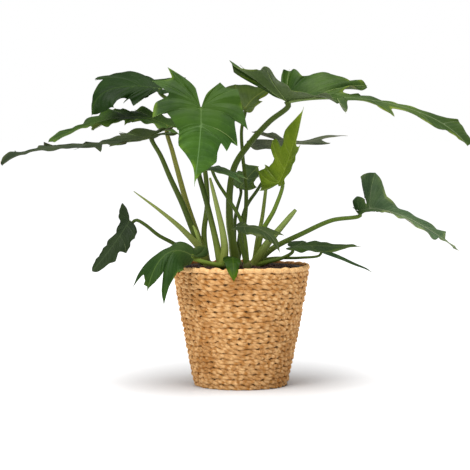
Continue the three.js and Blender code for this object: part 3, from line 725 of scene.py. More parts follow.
@dataclass(frozen=True)
class Leaf:
    """One leaf: its blade's outline and bend in space, and the way of its stalk.

    Each row of an outline is a ray that leaves the midrib at "along", 0 at the stalk and 1 at the tip, with its angle
    from the direction of the tip and its length on the left and on the right half, in degrees and in midribs. A sixth
    number tells how sharp a lobe is at that row: 1 if left out, 0 is round. The midrib passes through its four points.
    Fold, tip fold and hind are the degrees by which the halves rise at the stalk, at the tip and behind the stalk.
    The casts are factors on the blade's colours, the tip's own where it differs. They give the leaf's own tint and,
    on leaves seen flat at a grazing angle, also a painted sheen: a grey film of reflected light.
    """

    name: str
    shoot: str
    midrib: tuple[Point, Point, Point, Point]
    face: Point
    stalk: tuple[Point, ...]
    girth: Pair
    fold: Pair = (0.0, 0.0)
    tip_fold: Pair = (0.0, 0.0)
    hind: float = 0.0
    bend: float = 25.0
    tone: Tone = Tone.DEEP
    cast: Colour = (1.0, 1.0, 1.0)
    tip_tint_and_sheen: Colour | None = None
    foot_colour: Colour = (0.099, 0.145, 0.018)
    # The stalk's colour, darkened as painted shade on stalks that stand in shade, most of all on the front leaf's.
    stalk_colour_and_shade: Colour = (0.048, 0.082, 0.009)

    @property
    def outline(self) -> tuple[Row, ...]:
        """The rows of the blade's outline, with the one at the tip."""
        return (*OUTLINES[self.name], TIP_ROW)

    @property
    def length(self) -> float:
        """The length of the polyline through the midrib's points."""
        return float(np.linalg.norm(np.diff(np.array(self.midrib, float), axis=0), axis=1).sum())

    def frame_at(self, u: Array) -> tuple[Array, Array, Array, Array]:
        """The midrib's point, direction, normal and left side.

        The midrib is the cubic Bezier curve that passes the four points at 0, 1/3, 2/3 and 1.

        Args:
            u: How far along the midrib, from 0 to 1.

        Returns:
            The centre, the forward direction, the normal and the direction to the left, one row for each u.
        """
        p0, p1, p2, p3 = np.array(self.midrib, float)
        c1 = -5 / 6 * p0 + 3 * p1 - 1.5 * p2 + p3 / 3
        c2 = p0 / 3 - 1.5 * p1 + 3 * p2 - 5 / 6 * p3
        t = u[..., None]
        centre = (1 - t) ** 3 * p0 + 3 * (1 - t) ** 2 * t * c1 + 3 * (1 - t) * t**2 * c2 + t**3 * p3
        forward = unit((1 - t) ** 2 * (c1 - p0) + 2 * (1 - t) * t * (c2 - c1) + t**2 * (p3 - c2))
        face = np.array(self.face, float)
        normal = unit(face - forward * (forward @ face)[..., None])
        return centre, forward, normal, np.cross(normal, forward)

    def place(self, half: int, ahead: Array, aside: Array) -> Array:
        """Carries points of the flat leaf onto the arched and folded one.

        A point ahead of the stalk and aside of the midrib turns about the midrib by the rise of its half. Behind the
        stalk the leaf rolls up by the hind angle, reached within a small share of the midrib.

        Args:
            half: 0 for the left half, 1 for the right.
            ahead: The distance ahead of the stalk, in midribs.
            aside: The distance from the midrib, in midribs.

        Returns:
            The points in space.
        """
        length = self.length
        u = np.clip(ahead, 0, 1)
        out = aside * length
        behind = np.maximum(-ahead, 0) * length
        beyond = np.maximum(ahead - 1, 0) * length
        roll = np.radians(self.hind) * np.minimum(behind / length / HIND_REACH, 1)
        fold, tip = self.fold[half], self.tip_fold[half]
        rise = np.radians(tip + (fold - tip) * (1 - u) ** 2)
        centre, forward, normal, left = self.frame_at(u)
        side = 1 if half == 0 else -1
        return (
            centre
            + forward * ((beyond - behind) * np.cos(roll))[..., None]
            + normal * (behind * np.sin(roll) + out * np.sin(rise))[..., None]
            + left * (out * np.cos(rise) * side)[..., None]
        )

    def stalk_path(self, root: Point) -> Array:
        """The points of the stalk, from its root through its own points and square to the underside of the blade."""
        centre, _, normal, _ = self.frame_at(np.zeros(1))
        ends = [centre[0] - normal[0] * below for below in (STALK_LEAD, STALK_GAP)]
        return np.vstack([root, self.stalk, *ends])


OUTLINES: dict[str, tuple[Row, ...]] = {
    "front": (
        (0, 168, 0, 168, 0), (0, 160, 0.2, 168, 0.28), (0, 146, 0.43, 146, 0.71), (0, 136, 0.42, 142, 0.57),
        (0, 119, 0.52, 124, 0.71), (0, 102, 0.49, 118, 0.44), (0, 84, 0.52, 101, 0.56),
        (0, 67, 0.62, 78, 0.6), (0.05, 77, 0.42, 89, 0.41), (0.2, 64, 0.51, 75, 0.29, 0.5),
        (0.2, 62, 0.43, 69, 0.28), (0.22, 50, 0.44, 62, 0.29, 0.5), (0.3, 69, 0.29, 65, 0.285),
        (0.42, 65, 0.25, 71, 0.25, 0), (0.6, 79, 0.23, 81, 0.13, 0), (0.7, 85, 0.16, 75, 0.06),
        (0.8, 88, 0.065, 88, 0.025), (0.89, 90, 0.01, 90, 0.01),
    ),
    "right_long": (
        (0, 130, 0, 124, 0), (0, 104, 0.165, 121, 0.315, 0.4), (0, 92, 0.195, 104, 0.33, 0.4),
        (0, 80, 0.19, 88, 0.3), (0, 61, 0.165, 76, 0.46, 0.6), (0.01, 55, 0.22, 70, 0.33),
        (0.03, 42, 0.265, 60, 0.13), (0.08, 36, 0.28, 50, 0.14), (0.12, 34, 0.285, 45, 0.17),
        (0.16, 31, 0.29, 36, 0.19, 0.6), (0.2, 33, 0.18, 30, 0.17), (0.24, 30, 0.09, 42, 0.12),
        (0.285, 25, 0.1, 62, 0.12), (0.3, 24, 0.1, 72, 0.4), (0.32, 22, 0.1, 60, 0.1),
        (0.42, 15, 0.08, 40, 0.1), (0.46, 18, 0.09, 45, 0.2), (0.51, 18, 0.09, 36, 0.08),
        (0.6, 24, 0.08, 28, 0.1), (0.68, 45, 0.09, 30, 0.11, 0), (0.76, 60, 0.14, 28, 0.09),
        (0.82, 75, 0.155, 25, 0.06, 0), (0.87, 75, 0.11, 20, 0.05), (0.92, 72, 0.09, 20, 0.03),
    ),
    "left_mid": (
        (0, 168, 0, 168, 0), (0, 150, 0.15, 150, 0.2), (0, 110, 0.08, 105, 0.12), (0, 62, 0.1, 62, 0.13),
        (0.03, 38, 0.11, 38, 0.18), (0.08, 26, 0.16, 44, 0.23), (0.12, 26, 0.2, 34, 0.25, 0.3),
        (0.22, 47, 0.185, 31, 0.185), (0.28, 50, 0.125, 43, 0.233), (0.3, 30, 0.18, 46, 0.285),
        (0.36, 30, 0.2, 51, 0.29, 0.5), (0.42, 33, 0.26, 46, 0.25), (0.5, 20, 0.16, 39, 0.245),
        (0.6, 12, 0.12, 20, 0.16), (0.72, 20, 0.1, 34, 0.13), (0.82, 28, 0.12, 49, 0.16, 0),
        (0.93, 35, 0.05, 42, 0.075),
    ),
    "left_low": (
        (0, 170, 0, 174, 0), (0, 152, 0.17, 170, 0.2, 0.5), (0, 140, 0.07, 164, 0.13),
        (0, 60, 0.05, 140, 0.1), (0.02, 30, 0.06, 74, 0.18), (0.06, 20, 0.09, 64, 0.24),
        (0.1, 20, 0.1, 42, 0.14), (0.16, 31, 0.19, 32, 0.15, 0.4), (0.25, 50, 0.08, 12, 0.11),
        (0.33, 74, 0.03, 10, 0.09), (0.35, 78, 0.22, 10, 0.09), (0.37, 68, 0.07, 10, 0.09),
        (0.42, 50, 0.15, 12, 0.08, 0), (0.5, 40, 0.1, 20, 0.09), (0.6, 47, 0.068, 73, 0.118, 0.3),
        (0.64, 25, 0.07, 35, 0.06), (0.72, 30, 0.045, 40, 0.05), (0.78, 35, 0.03, 66, 0.11, 0),
        (0.86, 30, 0.02, 75, 0.1), (0.93, 30, 0.015, 75, 0.06),
    ),
    "left_top": (
        (0, 168, 0, 168, 0), (0, 150, 0.14, 150, 0.32), (0, 62, 0.06, 112, 0.2), (0.02, 49, 0.22, 70, 0.19),
        (0.05, 49, 0.4, 66, 0.26), (0.08, 37, 0.35, 61, 0.37), (0.12, 36, 0.44, 56, 0.43),
        (0.16, 38, 0.28, 53, 0.5), (0.2, 29, 0.42, 44, 0.51), (0.25, 25, 0.58, 46, 0.38),
        (0.5, 21, 0.43, 32, 0.24), (0.75, 18, 0.22, 26, 0.1),
    ),
    "left_hang": (
        (0, 150, 0, 140, 0), (0, 115, 0.04, 136.5, 0.26), (0, 92, 0.08, 129.5, 0.42, 0.6),
        (0, 78, 0.13, 117, 0.35), (0, 68, 0.18, 106, 0.28), (0, 60, 0.23, 72, 0.18),
        (0.1, 56, 0.29, 28, 0.22), (0.2, 55, 0.25, 34, 0.19), (0.25, 55, 0.3, 29, 0.28, 0.5),
        (0.35, 53, 0.31, 25, 0.28), (0.45, 45, 0.21, 25, 0.26), (0.55, 50, 0.25, 26, 0.24, 0.5),
        (0.65, 48, 0.19, 28, 0.2), (0.78, 46, 0.15, 32, 0.14), (0.9, 52, 0.09, 40, 0.08),
    ),
    "rim_left": (
        (0, 168, 0, 168, 0), (0, 110, 0.08, 140, 0.33), (0, 90, 0.14, 122, 0.44), (0, 78, 0.19, 94, 0.18),
        (0.05, 50, 0.36, 66, 0.23), (0.1, 28, 0.57, 48, 0.25), (0.2, 20, 0.73, 24, 0.38),
        (0.28, 16, 0.86, 28, 0.6), (0.3, 15, 0.66, 25, 0.71), (0.36, 19, 0.17, 20, 0.49),
        (0.42, 32, 0.18, 16, 0.46), (0.5, 22, 0.29, 11, 0.42, 0), (0.62, 20, 0.24, 11, 0.31),
        (0.8, 18, 0.12, 14, 0.14),
    ),
    "right_low": (
        (0, 168, 0, 168, 0), (0, 150, 0.06, 150, 0.11), (0, 112, 0.09, 125, 0.14, 0.4),
        (0, 82, 0.13, 100, 0.1, 0.4), (0.04, 66, 0.1, 80, 0.07), (0.085, 88, 0.05, 66, 0.07),
        (0.1, 94, 0.21, 60, 0.08), (0.1, 93, 0.31, 58, 0.08), (0.105, 85, 0.35, 56, 0.08),
        (0.11, 77, 0.385, 52, 0.09, 0.5), (0.13, 66, 0.3, 45, 0.1), (0.16, 50, 0.19, 30, 0.11),
        (0.24, 37, 0.17, 25, 0.14), (0.32, 29, 0.15, 33, 0.15), (0.42, 28, 0.16, 50, 0.19, 0),
        (0.55, 30, 0.19, 49, 0.18), (0.65, 35, 0.2, 54, 0.18, 0.5), (0.7, 30, 0.16, 45, 0.11),
        (0.8, 22, 0.07, 30, 0.05), (0.88, 30, 0.02, 30, 0.02), (0.93, 45, 0.03, 80, 0.06),
    ),
    "young": (
        (0, 166, 0, 150, 0), (0, 141, 0.33, 120, 0.05), (0, 126, 0.27, 100, 0.08),
        (0, 100, 0.36, 85, 0.11, 0.4), (0.01, 88, 0.3, 78, 0.15), (0.02, 77, 0.35, 72, 0.18),
        (0.05, 70, 0.25, 64, 0.23), (0.12, 52, 0.27, 60, 0.31), (0.18, 59, 0.39, 58, 0.37),
        (0.22, 54, 0.44, 58, 0.41, 0.5), (0.26, 46, 0.38, 58, 0.46), (0.29, 49, 0.25, 58, 0.49),
        (0.34, 48, 0.23, 57, 0.51), (0.42, 50, 0.25, 60, 0.3), (0.55, 52, 0.22, 60, 0.15),
        (0.78, 37, 0.1, 40, 0.09),
    ),
    "back_mid": (
        (0, 172, 0, 172, 0), (0, 171, 0.42, 170, 0.52, 0.4), (0, 168, 0.38, 166, 0.58),
        (0, 158, 0.27, 160, 0.6), (0, 148, 0.18, 152, 0.55, 0.3), (0, 140, 0.16, 148, 0.4),
        (0.02, 130, 0.15, 143, 0.32, 0.3), (0.06, 100, 0.07, 100, 0.1), (0.12, 60, 0.05, 40, 0.07),
        (0.26, 45, 0.05, 42, 0.07), (0.4, 38, 0.06, 30, 0.26), (0.5, 36, 0.06, 36, 0.07, 0),
        (0.75, 36, 0.06, 36, 0.04),
    ),
    "top_mid": (
        (0, 168, 0, 168, 0), (0, 100, 0.33, 110, 0.12), (0, 68, 0.58, 50, 0.18), (0, 45, 0.64, 26, 0.38),
        (0.2, 36, 0.5, 26, 0.2), (0.45, 30, 0.28, 30, 0.2), (0.7, 35, 0.14, 40, 0.09),
    ),
    "back_low": (
        (0, 150, 0, 150, 0), (0, 100, 0.1, 105, 0.24), (0, 80, 0.14, 71, 0.42, 0.4),
        (0.04, 50, 0.5, 61, 0.34), (0.08, 38, 0.62, 58, 0.32, 0.4), (0.2, 34, 0.48, 54, 0.27),
        (0.35, 33, 0.88, 50, 0.32), (0.6, 38, 0.42, 40, 0.2),
    ),
    "thin": (
        (0, 168, 0, 168, 0), (0, 148, 0.12, 150, 0.2), (0.04, 90, 0.14, 64, 0.34),
        (0.1, 60, 0.14, 45, 0.42), (0.24, 42, 0.12, 36, 0.46, 0.3), (0.34, 34, 0.12, 19, 0.82),
        (0.5, 34, 0.12, 17, 0.26, 0), (0.75, 36, 0.09, 34, 0.1),
    ),
    "right_flat": (
        (0, 168, 0, 168, 0), (0, 130, 0.14, 130, 0.1), (0, 75, 0.21, 80, 0.14), (0.05, 62, 0.22, 60, 0.2),
        (0.15, 48, 0.2, 55, 0.27), (0.28, 45, 0.19, 52, 0.3, 0), (0.45, 40, 0.16, 44, 0.26),
        (0.65, 31, 0.17, 36, 0.14, 0), (0.85, 30, 0.07, 35, 0.05),
    ),
    "right_thin": (
        (0, 168, 0, 168, 0), (0, 140, 0.06, 140, 0.06), (0.05, 70, 0.09, 70, 0.08),
        (0.3, 40, 0.11, 40, 0.1, 0), (0.6, 35, 0.08, 35, 0.08), (0.85, 30, 0.05, 30, 0.04),
    ),
    "small": (
        (0, 168, 0, 168, 0), (0, 145, 0.17, 140, 0.08), (0, 104, 0.21, 100, 0.12), (0, 80, 0.12, 80, 0.14),
        (0.05, 45, 0.14, 50, 0.24), (0.2, 30, 0.12, 50, 0.33), (0.35, 28, 0.17, 41, 0.3),
        (0.45, 38, 0.26, 30, 0.28), (0.5, 38, 0.38, 20, 0.27), (0.58, 30, 0.16, 18, 0.24),
        (0.75, 25, 0.12, 20, 0.14),
    ),
    "rim_front": (
        (0, 150, 0, 150, 0), (0, 112, 0.14, 112, 0.17), (0.03, 62, 0.25, 66, 0.28, 0.4),
        (0.12, 47, 0.26, 52, 0.3), (0.4, 36, 0.23, 44, 0.25), (0.7, 37, 0.12, 42, 0.13),
    ),
}

# The greyer tips of front, right_long, left_low and right_low, and all of back_mid, are painted sheen.
LEAVES: tuple[Leaf, ...] = (
    Leaf(
        "front", "front", midrib=((-60, -70, 424), (-61, -86, 385), (-65, -94, 345), (-70, -95, 305)),
        face=(0, -1, 0.15),
        stalk=((-40, -36, 232), (-52, -38, 282), (-65, -35, 331), (-68, -36, 377), (-65, -46, 410)),
        girth=(5, 3), tone=Tone.MID, cast=(0.82, 0.82, 0.74), tip_tint_and_sheen=(1.15, 1.2, 1.6),
        foot_colour=(0.149, 0.197, 0.031), stalk_colour_and_shade=(0.024, 0.045, 0.005),
    ),
    Leaf(
        "right_long", "middle", midrib=((70, 5, 436), (157, -30, 441), (261, -58, 421), (338, -80, 368)),
        face=(-0.05, -0.35, 1),
        stalk=((-17, 6, 254), (-17, 5, 300), (-9, 5, 338), (14, 5, 372), (44, 5, 405)), girth=(6, 4),
        fold=(42, 50), tip_fold=(-8, -12), hind=26, bend=8, tone=Tone.MID, cast=(1, 0.92, 1.15),
        tip_tint_and_sheen=(1.55, 1.15, 2.3), foot_colour=(0.109, 0.155, 0.021), stalk_colour_and_shade=(0.044, 0.073, 0.008),
    ),
    Leaf(
        "left_low", "left", midrib=((-137, -20, 383), (-208, -50, 373), (-297, -78, 364), (-355, -100, 339)),
        face=(0, -0.05, 1), stalk=((-75, -5, 242), (-90, -10, 280), (-108, -14, 319), (-123, -18, 354)),
        girth=(5.5, 3.2), fold=(-12, 12), tip_fold=(-10, 10), bend=8, cast=(0.72, 0.48, 0.25),
        tip_tint_and_sheen=(1.15, 0.68, 1.2), stalk_colour_and_shade=(0.036, 0.059, 0.007),
    ),
    Leaf(
        "left_mid", "left", midrib=((-112, 44, 398), (-173, 58, 412), (-236, 70, 400), (-303, 80, 372)),
        face=(0, -0.12, 1), stalk=((-69, 14, 235), (-83, 21, 276), (-95, 29, 318), (-106, 37, 358)),
        girth=(5.5, 3.2), fold=(-18, 18), tip_fold=(-16, 16), hind=6, bend=8, cast=(1.4, 1.18, 0.65),
        foot_colour=(0.119, 0.155, 0.025), stalk_colour_and_shade=(0.145, 0.148, 0.029),
    ),
    Leaf(
        "left_top", "left", midrib=((-125, 40, 456), (-175, 36, 459), (-214, 22, 447), (-229, 10, 411)),
        face=(-0.2, -0.5, 1), stalk=((-57, 20, 233), (-52, 28, 283), (-63, 36, 361), (-100, 42, 428)),
        girth=(4.5, 2.8), fold=(-30, 10), tip_fold=(-20, 0), hind=12, cast=(0.36, 0.45, 0.1),
        stalk_colour_and_shade=(0.04, 0.064, 0.007),
    ),
    Leaf(
        "left_hang", "left", midrib=((-170, -30, 253), (-183, -38, 233), (-201, -45, 208), (-226, -50, 178)),
        face=(-0.5, -1, 0.2), stalk=((-101, -20, 218), (-126, -24, 232), (-146, -26, 248), (-160, -25, 255)),
        girth=(3.6, 2.4), fold=(-10, -10), tip_fold=(-10, -10), tone=Tone.DUSKY,
        foot_colour=(0.079, 0.114, 0.015), stalk_colour_and_shade=(0.032, 0.055, 0.007),
    ),
    Leaf(
        "rim_left", "front",
        midrib=((-72, -84, 204), (-101, -104, 213), (-124, -122, 195), (-139, -136, 152)),
        face=(-0.3, -0.8, 0.6), stalk=((-30, -62, 188), (-51, -70, 193)), girth=(3.8, 2.8), fold=(-25, -25),
        tip_fold=(-25, -25), cast=(2.1, 1.4, 1.4), tip_tint_and_sheen=(1.05, 1, 0.65),
        foot_colour=(0.179, 0.217, 0.037), stalk_colour_and_shade=(0.12, 0.173, 0.022),
    ),
    Leaf(
        "right_low", "right", midrib=((182, 10, 268), (233, 22, 265), (287, 33, 240), (339, 40, 204)),
        face=(0.2, -0.12, 1), stalk=((46, 6, 208), (95, 8, 233), (140, 9, 253)), girth=(4.5, 3),
        # the grey of the tip is painted sheen
        fold=(62, -6), tip_fold=(25, -10), hind=40, bend=4, cast=(0.8, 0.72, 0.75), tip_tint_and_sheen=(5.5, 3.2, 6.8),
        foot_colour=(0.124, 0.165, 0.025), stalk_colour_and_shade=(0.064, 0.109, 0.011),
    ),
    Leaf(
        "young", "right", midrib=((57, -40, 312), (71, -48, 345), (83, -55, 386), (94, -60, 427)),
        face=(-0.8, -0.6, 0.1), stalk=((33, -20, 238), (51, -28, 272)), girth=(4.5, 2.8), fold=(10, 24),
        tip_fold=(10, 30), tone=Tone.LIME, cast=(1.35, 1.3, 2.2), foot_colour=(0.179, 0.217, 0.037),
        stalk_colour_and_shade=(0.096, 0.155, 0.015),
    ),
    Leaf(
        "back_mid", "middle", midrib=((64, 96, 374), (101, 128, 372), (137, 158, 379), (173, 180, 381)),
        face=(0, -0.12, 1), stalk=((6, 40, 267), (27, 56, 300), (50, 78, 336)), girth=(3.6, 1.8),
        fold=(42, -35), tip_fold=(8, -16), hind=-5, tone=Tone.DUSKY, cast=(3.1, 2.2, 3.6),
        foot_colour=(0.079, 0.124, 0.015), stalk_colour_and_shade=(0.032, 0.059, 0.007),
    ),
    Leaf(
        "top_mid", "middle", midrib=((6, 25, 424), (20, 45, 441), (36, 68, 452), (55, 90, 463)),
        face=(-0.2, -1, 0.5), stalk=((6, 22, 253), (8, 26, 299), (3, 30, 349), (1, 32, 392)),
        girth=(3.8, 2.4), bend=10, tone=Tone.MID, cast=(0.82, 0.61, 0.37), foot_colour=(0.079, 0.114, 0.015),
        stalk_colour_and_shade=(0.04, 0.068, 0.007),
    ),
    Leaf(
        "back_low", "middle", midrib=((-1, 65, 301), (8, 80, 313), (19, 95, 325), (29, 110, 334)),
        face=(-0.3, -0.8, 0.5), stalk=((-10, 36, 222), (-8, 52, 260)), girth=(3.4, 2.2), bend=10,
        cast=(1.9, 1.4, 1.05), foot_colour=(0.06, 0.093, 0.013), stalk_colour_and_shade=(0.032, 0.055, 0.007),
    ),
    Leaf(
        "thin", "inner", midrib=((-44, -36, 336), (-29, -50, 334), (-9, -62, 327), (9, -75, 319)),
        face=(0, -0.25, 1), stalk=((6, -33, 225), (0, -30, 254), (-17, -30, 284), (-34, -31, 310)),
        girth=(3.4, 2.4), cast=(2.4, 1.9, 2.2),
    ),
    Leaf(
        "right_flat", "right", midrib=((77, -35, 215), (112, -48, 217), (146, -60, 217), (180, -70, 218)),
        face=(0, -0.35, 1), stalk=((44, -24, 192), (64, -29, 198)), girth=(3.4, 2.4), cast=(1.2, 0.88, 0.85),
        foot_colour=(0.109, 0.155, 0.021), stalk_colour_and_shade=(0.056, 0.091, 0.011),
    ),
    Leaf(
        "right_thin", "right", midrib=((124, 0, 206), (151, 8, 196), (177, 14, 185), (203, 20, 172)),
        face=(0.2, -0.45, 1), stalk=((41, -3, 194), (91, -2, 196)), girth=(2.6, 1.8),
    ),
    Leaf(
        "small", "inner", midrib=((-5, -60, 247), (15, -74, 247), (40, -86, 237), (59, -95, 206)),
        face=(0, -0.5, 1), stalk=((2, -48, 214),), girth=(3.2, 2.2), cast=(1.55, 0.98, 1.3),
    ),
    Leaf(
        "rim_front", "front", midrib=((-13, -76, 202), (-12, -95, 196), (-11, -110, 182), (-11, -113, 166)),
        face=(0.1, -1, 0.4), stalk=((-24, -50, 191), (-18, -62, 195)), girth=(3, 2.2), fold=(-8, -8),
        tip_fold=(-14, -14), bend=20, tone=Tone.MID, cast=(0.5, 0.55, 0.1),
        foot_colour=(0.149, 0.197, 0.031), stalk_colour_and_shade=(0.096, 0.155, 0.018),
    ),
)


@dataclass
class Blade:
    """The blade of one leaf: a thin closed plate with sunken veins, raised ribs under it and a wavy margin.

    Lengths are millimetres. The quilt's height and fade, the wave and the calm, under which a short ray stays flat,
    are shares of the blade's length. A lobe's vein counts as further away by faint. The tip's tint and painted sheen
    come in at tip_pace. The rib fields give the midrib's rib, and the vein fields the ribs of the lobes.
    """

    leaf: Leaf
    cuts: int
    bands: int
    seed: int
    thickness: float = 0.6
    cusp: float = 1.7
    band_power: float = 0.92
    quilt: float = 0.011
    quilt_power: float = 0.7
    quilt_fade: float = 0.04
    faint: float = 0.4
    wave: float = 0.012
    wavelength: float = 1.9
    calm: float = 0.2
    tip_pace: float = 2.2
    rib_end: float = 0.97
    rib_rings: int = 40
    rib_sides: int = 8
    rib_share: float = 0.62
    rib_power: float = 0.8
    rib_least: float = 0.32
    rib_drop: float = 0.9
    vein_span: float = 0.1
    vein_sides: int = 6
    vein_share: float = 0.5
    vein_most: float = 0.9
    vein_least: float = 0.22
    vein_drop: float = 0.75
    vein_gap: float = 0.1

    def lobes(self, half: int) -> list[int]:
        """The rows of the outline whose rays end in a lobe, on one half."""
        reach = [row[2 + 2 * half] for row in self.leaf.outline]
        return [k for k in range(1, len(reach) - 1) if reach[k] > reach[k - 1] and reach[k] > reach[k + 1]]

    def slope(self, half: int, k: int, rise: float) -> float:
        """How fast the reach changes at row k.

        It is steep at a lobe, 0 at a notch, half the rise at both ends and the mean of both sides elsewhere.

        Args:
            half: 0 for the left half, 1 for the right.
            k: The row.
            rise: How much the reach grows over the stretch whose end this is.

        Returns:
            The slope for one stretch between two rows.
        """
        rows = self.leaf.outline
        if k in (0, len(rows) - 1):
            return rise / 2
        before, here, after = (rows[n][2 + 2 * half] for n in (k - 1, k, k + 1))
        if here > before and here > after:
            point = rows[k][5] if len(rows[k]) > 5 else 1.0
            return self.cusp * rise * point
        if here <= before and here <= after:
            return 0.0
        return (after - before) / 2

    def rays(self, half: int) -> tuple[Array, Array, Array, Array]:
        """The rays of one half.

        Between two rows the start and the angle change evenly, and the reach follows a cubic Hermite curve.

        Args:
            half: 0 for the left half, 1 for the right.

        Returns:
            The row count, start, angle and reach of each ray.
        """
        rows = self.leaf.outline
        column = 1 + 2 * half
        rays = []
        q = np.arange(self.cuts) / self.cuts
        for i, (row, after) in enumerate(zip(rows, rows[1:])):
            rise = float(after[column + 1]) - float(row[column + 1])
            out = (
                (2 * q**3 - 3 * q**2 + 1) * row[column + 1]
                + (q**3 - 2 * q**2 + q) * self.slope(half, i, rise)
                + (3 * q**2 - 2 * q**3) * after[column + 1]
                + (q**3 - q**2) * self.slope(half, i + 1, rise)
            )
            start = row[0] + (after[0] - row[0]) * q
            rays.append((i + q, start, row[column] + (after[column] - row[column]) * q, out))
        rays.append(([len(rows) - 1.0], [1.0], [0.0], [0.0]))
        row_at, start, angle, out = (np.concatenate(part) for part in zip(*rays))
        return row_at, start, np.radians(angle), np.maximum(out, 0)

    def half_grid(self, half: int) -> dict[str, Array]:
        """The flat and the placed points of one half, with the distances that its materials need.

        A ray bows towards the margin by up to the leaf's bend, most for the rays square to the midrib, and less
        towards the first row, where the margin itself leaves the stalk.

        Args:
            half: 0 for the left half, 1 for the right.

        Returns:
            Grids of rays by bands, by name.
        """
        leaf = self.leaf
        row_at, along, angle, reach = (part[:, None] for part in self.rays(half))
        part = np.linspace(0, 1, self.bands + 1)[None, :] ** self.band_power
        bow = np.radians(leaf.bend) * (1 - part) * np.sin(angle) ** 2 * np.minimum(row_at, 1)
        turned = np.minimum(angle + bow, math.pi)
        ahead = along + reach * part * np.cos(turned)
        aside = reach * part * np.sin(turned)
        placed = leaf.place(half, ahead, aside)
        vein = aside * leaf.length
        for k in self.lobes(half):
            line = placed[k * self.cuts]
            vein = np.minimum(vein, np.linalg.norm(placed - line[None], axis=-1) + self.faint)
        return {
            "placed": placed,
            "ahead": ahead,
            "aside": aside,
            "vein": vein,
            "edge": reach * leaf.length * (1 - part),
            "ray": np.broadcast_to(row_at, ahead.shape),
            "part": np.broadcast_to(part, ahead.shape),
            "reach": np.broadcast_to(reach * leaf.length, ahead.shape),
        }

    @staticmethod
    def half_triangles(grid: dict[str, Array]) -> Array:
        """The triangles of one half, each cell cut along the diagonal whose two triangles lie flat best."""
        rows, columns = grid["ahead"].shape
        i, j = np.meshgrid(np.arange(rows - 1), np.arange(columns - 1), indexing="ij")
        a = (i * columns + j).ravel()
        b, c, d = a + columns, a + columns + 1, a + 1
        x, y = grid["ahead"].ravel(), grid["aside"].ravel()

        def area(p: Array, q: Array, r: Array) -> Array:
            """Twice the flat area of triangles, negative where they run backwards."""
            return (x[q] - x[p]) * (y[r] - y[p]) - (x[r] - x[p]) * (y[q] - y[p])

        through_a = np.minimum(area(a, b, c), area(a, c, d))
        through_b = np.minimum(area(b, c, d), area(b, d, a))
        better = (through_a >= through_b)[:, None]
        one = np.where(better, np.stack([a, b, c], 1), np.stack([b, c, d], 1))
        two = np.where(better, np.stack([a, c, d], 1), np.stack([b, d, a], 1))
        return np.vstack([one, two])

    def surface(self) -> Mesh:
        """The middle surface: both halves, in which points that fall together are one and no triangle is empty."""
        grids = [self.half_grid(half) for half in (0, 1)]
        left, right = (self.half_triangles(grid) for grid in grids)
        triangles = np.vstack([left, (right + grids[0]["ahead"].size)[:, ::-1]])
        points = np.vstack([grid["placed"].reshape(-1, 3) for grid in grids])
        _, keep, where = np.unique(np.round(points, 3), axis=0, return_index=True, return_inverse=True)
        merged = where.ravel()[triangles]
        whole = (merged != np.roll(merged, -1, axis=1)).all(axis=1)
        values = {
            key: np.concatenate([grid[key].ravel() for grid in grids])[keep]
            for key in ("vein", "edge", "ray", "part", "reach", "ahead")
        }
        return Mesh(points[keep], merged[whole], values)

    def relief(self, surface: Mesh) -> Array:
        """How far each point stands out of the middle surface, in millimetres.

        The blade rises between its veins, by a share of its length that fades near a vein and towards the margin, and
        the margin swings up and down in waves that grow with the square of the distance from the midrib.
        """
        length = self.leaf.length
        values = surface.values
        between = 1 - np.exp(-((values["vein"] / (self.quilt_fade * length)) ** 2))
        arch = np.sin(np.pi * np.clip(values["part"], 0, 1)) ** self.quilt_power
        rise = self.quilt * length * between * arch
        waves = wander(values["ray"], self.wavelength, np.random.default_rng(self.seed))
        swing = self.wave * length * values["part"] ** 2 * waves
        return (rise + swing) * np.clip(values["reach"] / (self.calm * length), 0, 1)

    def mesh(self) -> Mesh:
        """The closed plate with its ribs."""
        surface = self.surface()
        top = surface.triangles
        a, b, c = (surface.points[top[:, k]] for k in range(3))
        faces = np.cross(b - a, c - a)
        normals = np.zeros_like(surface.points)
        for k in range(3):
            np.add.at(normals, top[:, k], faces)
        normals = unit(normals)
        middle = surface.points + normals * self.relief(surface)[:, None]
        count = len(middle)
        points = np.vstack([middle + normals * self.thickness / 2, middle - normals * self.thickness / 2])
        edges = np.concatenate([top[:, [0, 1]], top[:, [1, 2]], top[:, [2, 0]]])
        code = edges[:, 0] * count + edges[:, 1]
        p, q = edges[~np.isin(code, edges[:, 1] * count + edges[:, 0])].T
        wall = np.vstack([np.stack([p, p + count, q + count], 1), np.stack([p, q + count, q], 1)])
        triangles = np.vstack([top, top[:, ::-1] + count, wall])
        values = {key: np.tile(surface.values[key], 2) for key in ("vein", "edge", "ray")}
        # the leaf's own tint with painted sheen, eased from the blade's into the tip's
        share = np.tile(np.clip(self.tip_pace * surface.values["ahead"], 0, 1), 2)[:, None]
        cast = (1 - share) * self.leaf.cast + share * (self.leaf.tip_tint_and_sheen or self.leaf.cast)
        values["tone"] = np.column_stack([cast, np.ones(2 * count)])
        finishes = np.concatenate([np.zeros(len(top)), np.ones(len(top) + len(wall))])
        plate = Mesh(points, triangles, values, np.zeros((2 * count, 2)), finishes)
        return Mesh.joined([plate, *self.ribs()])

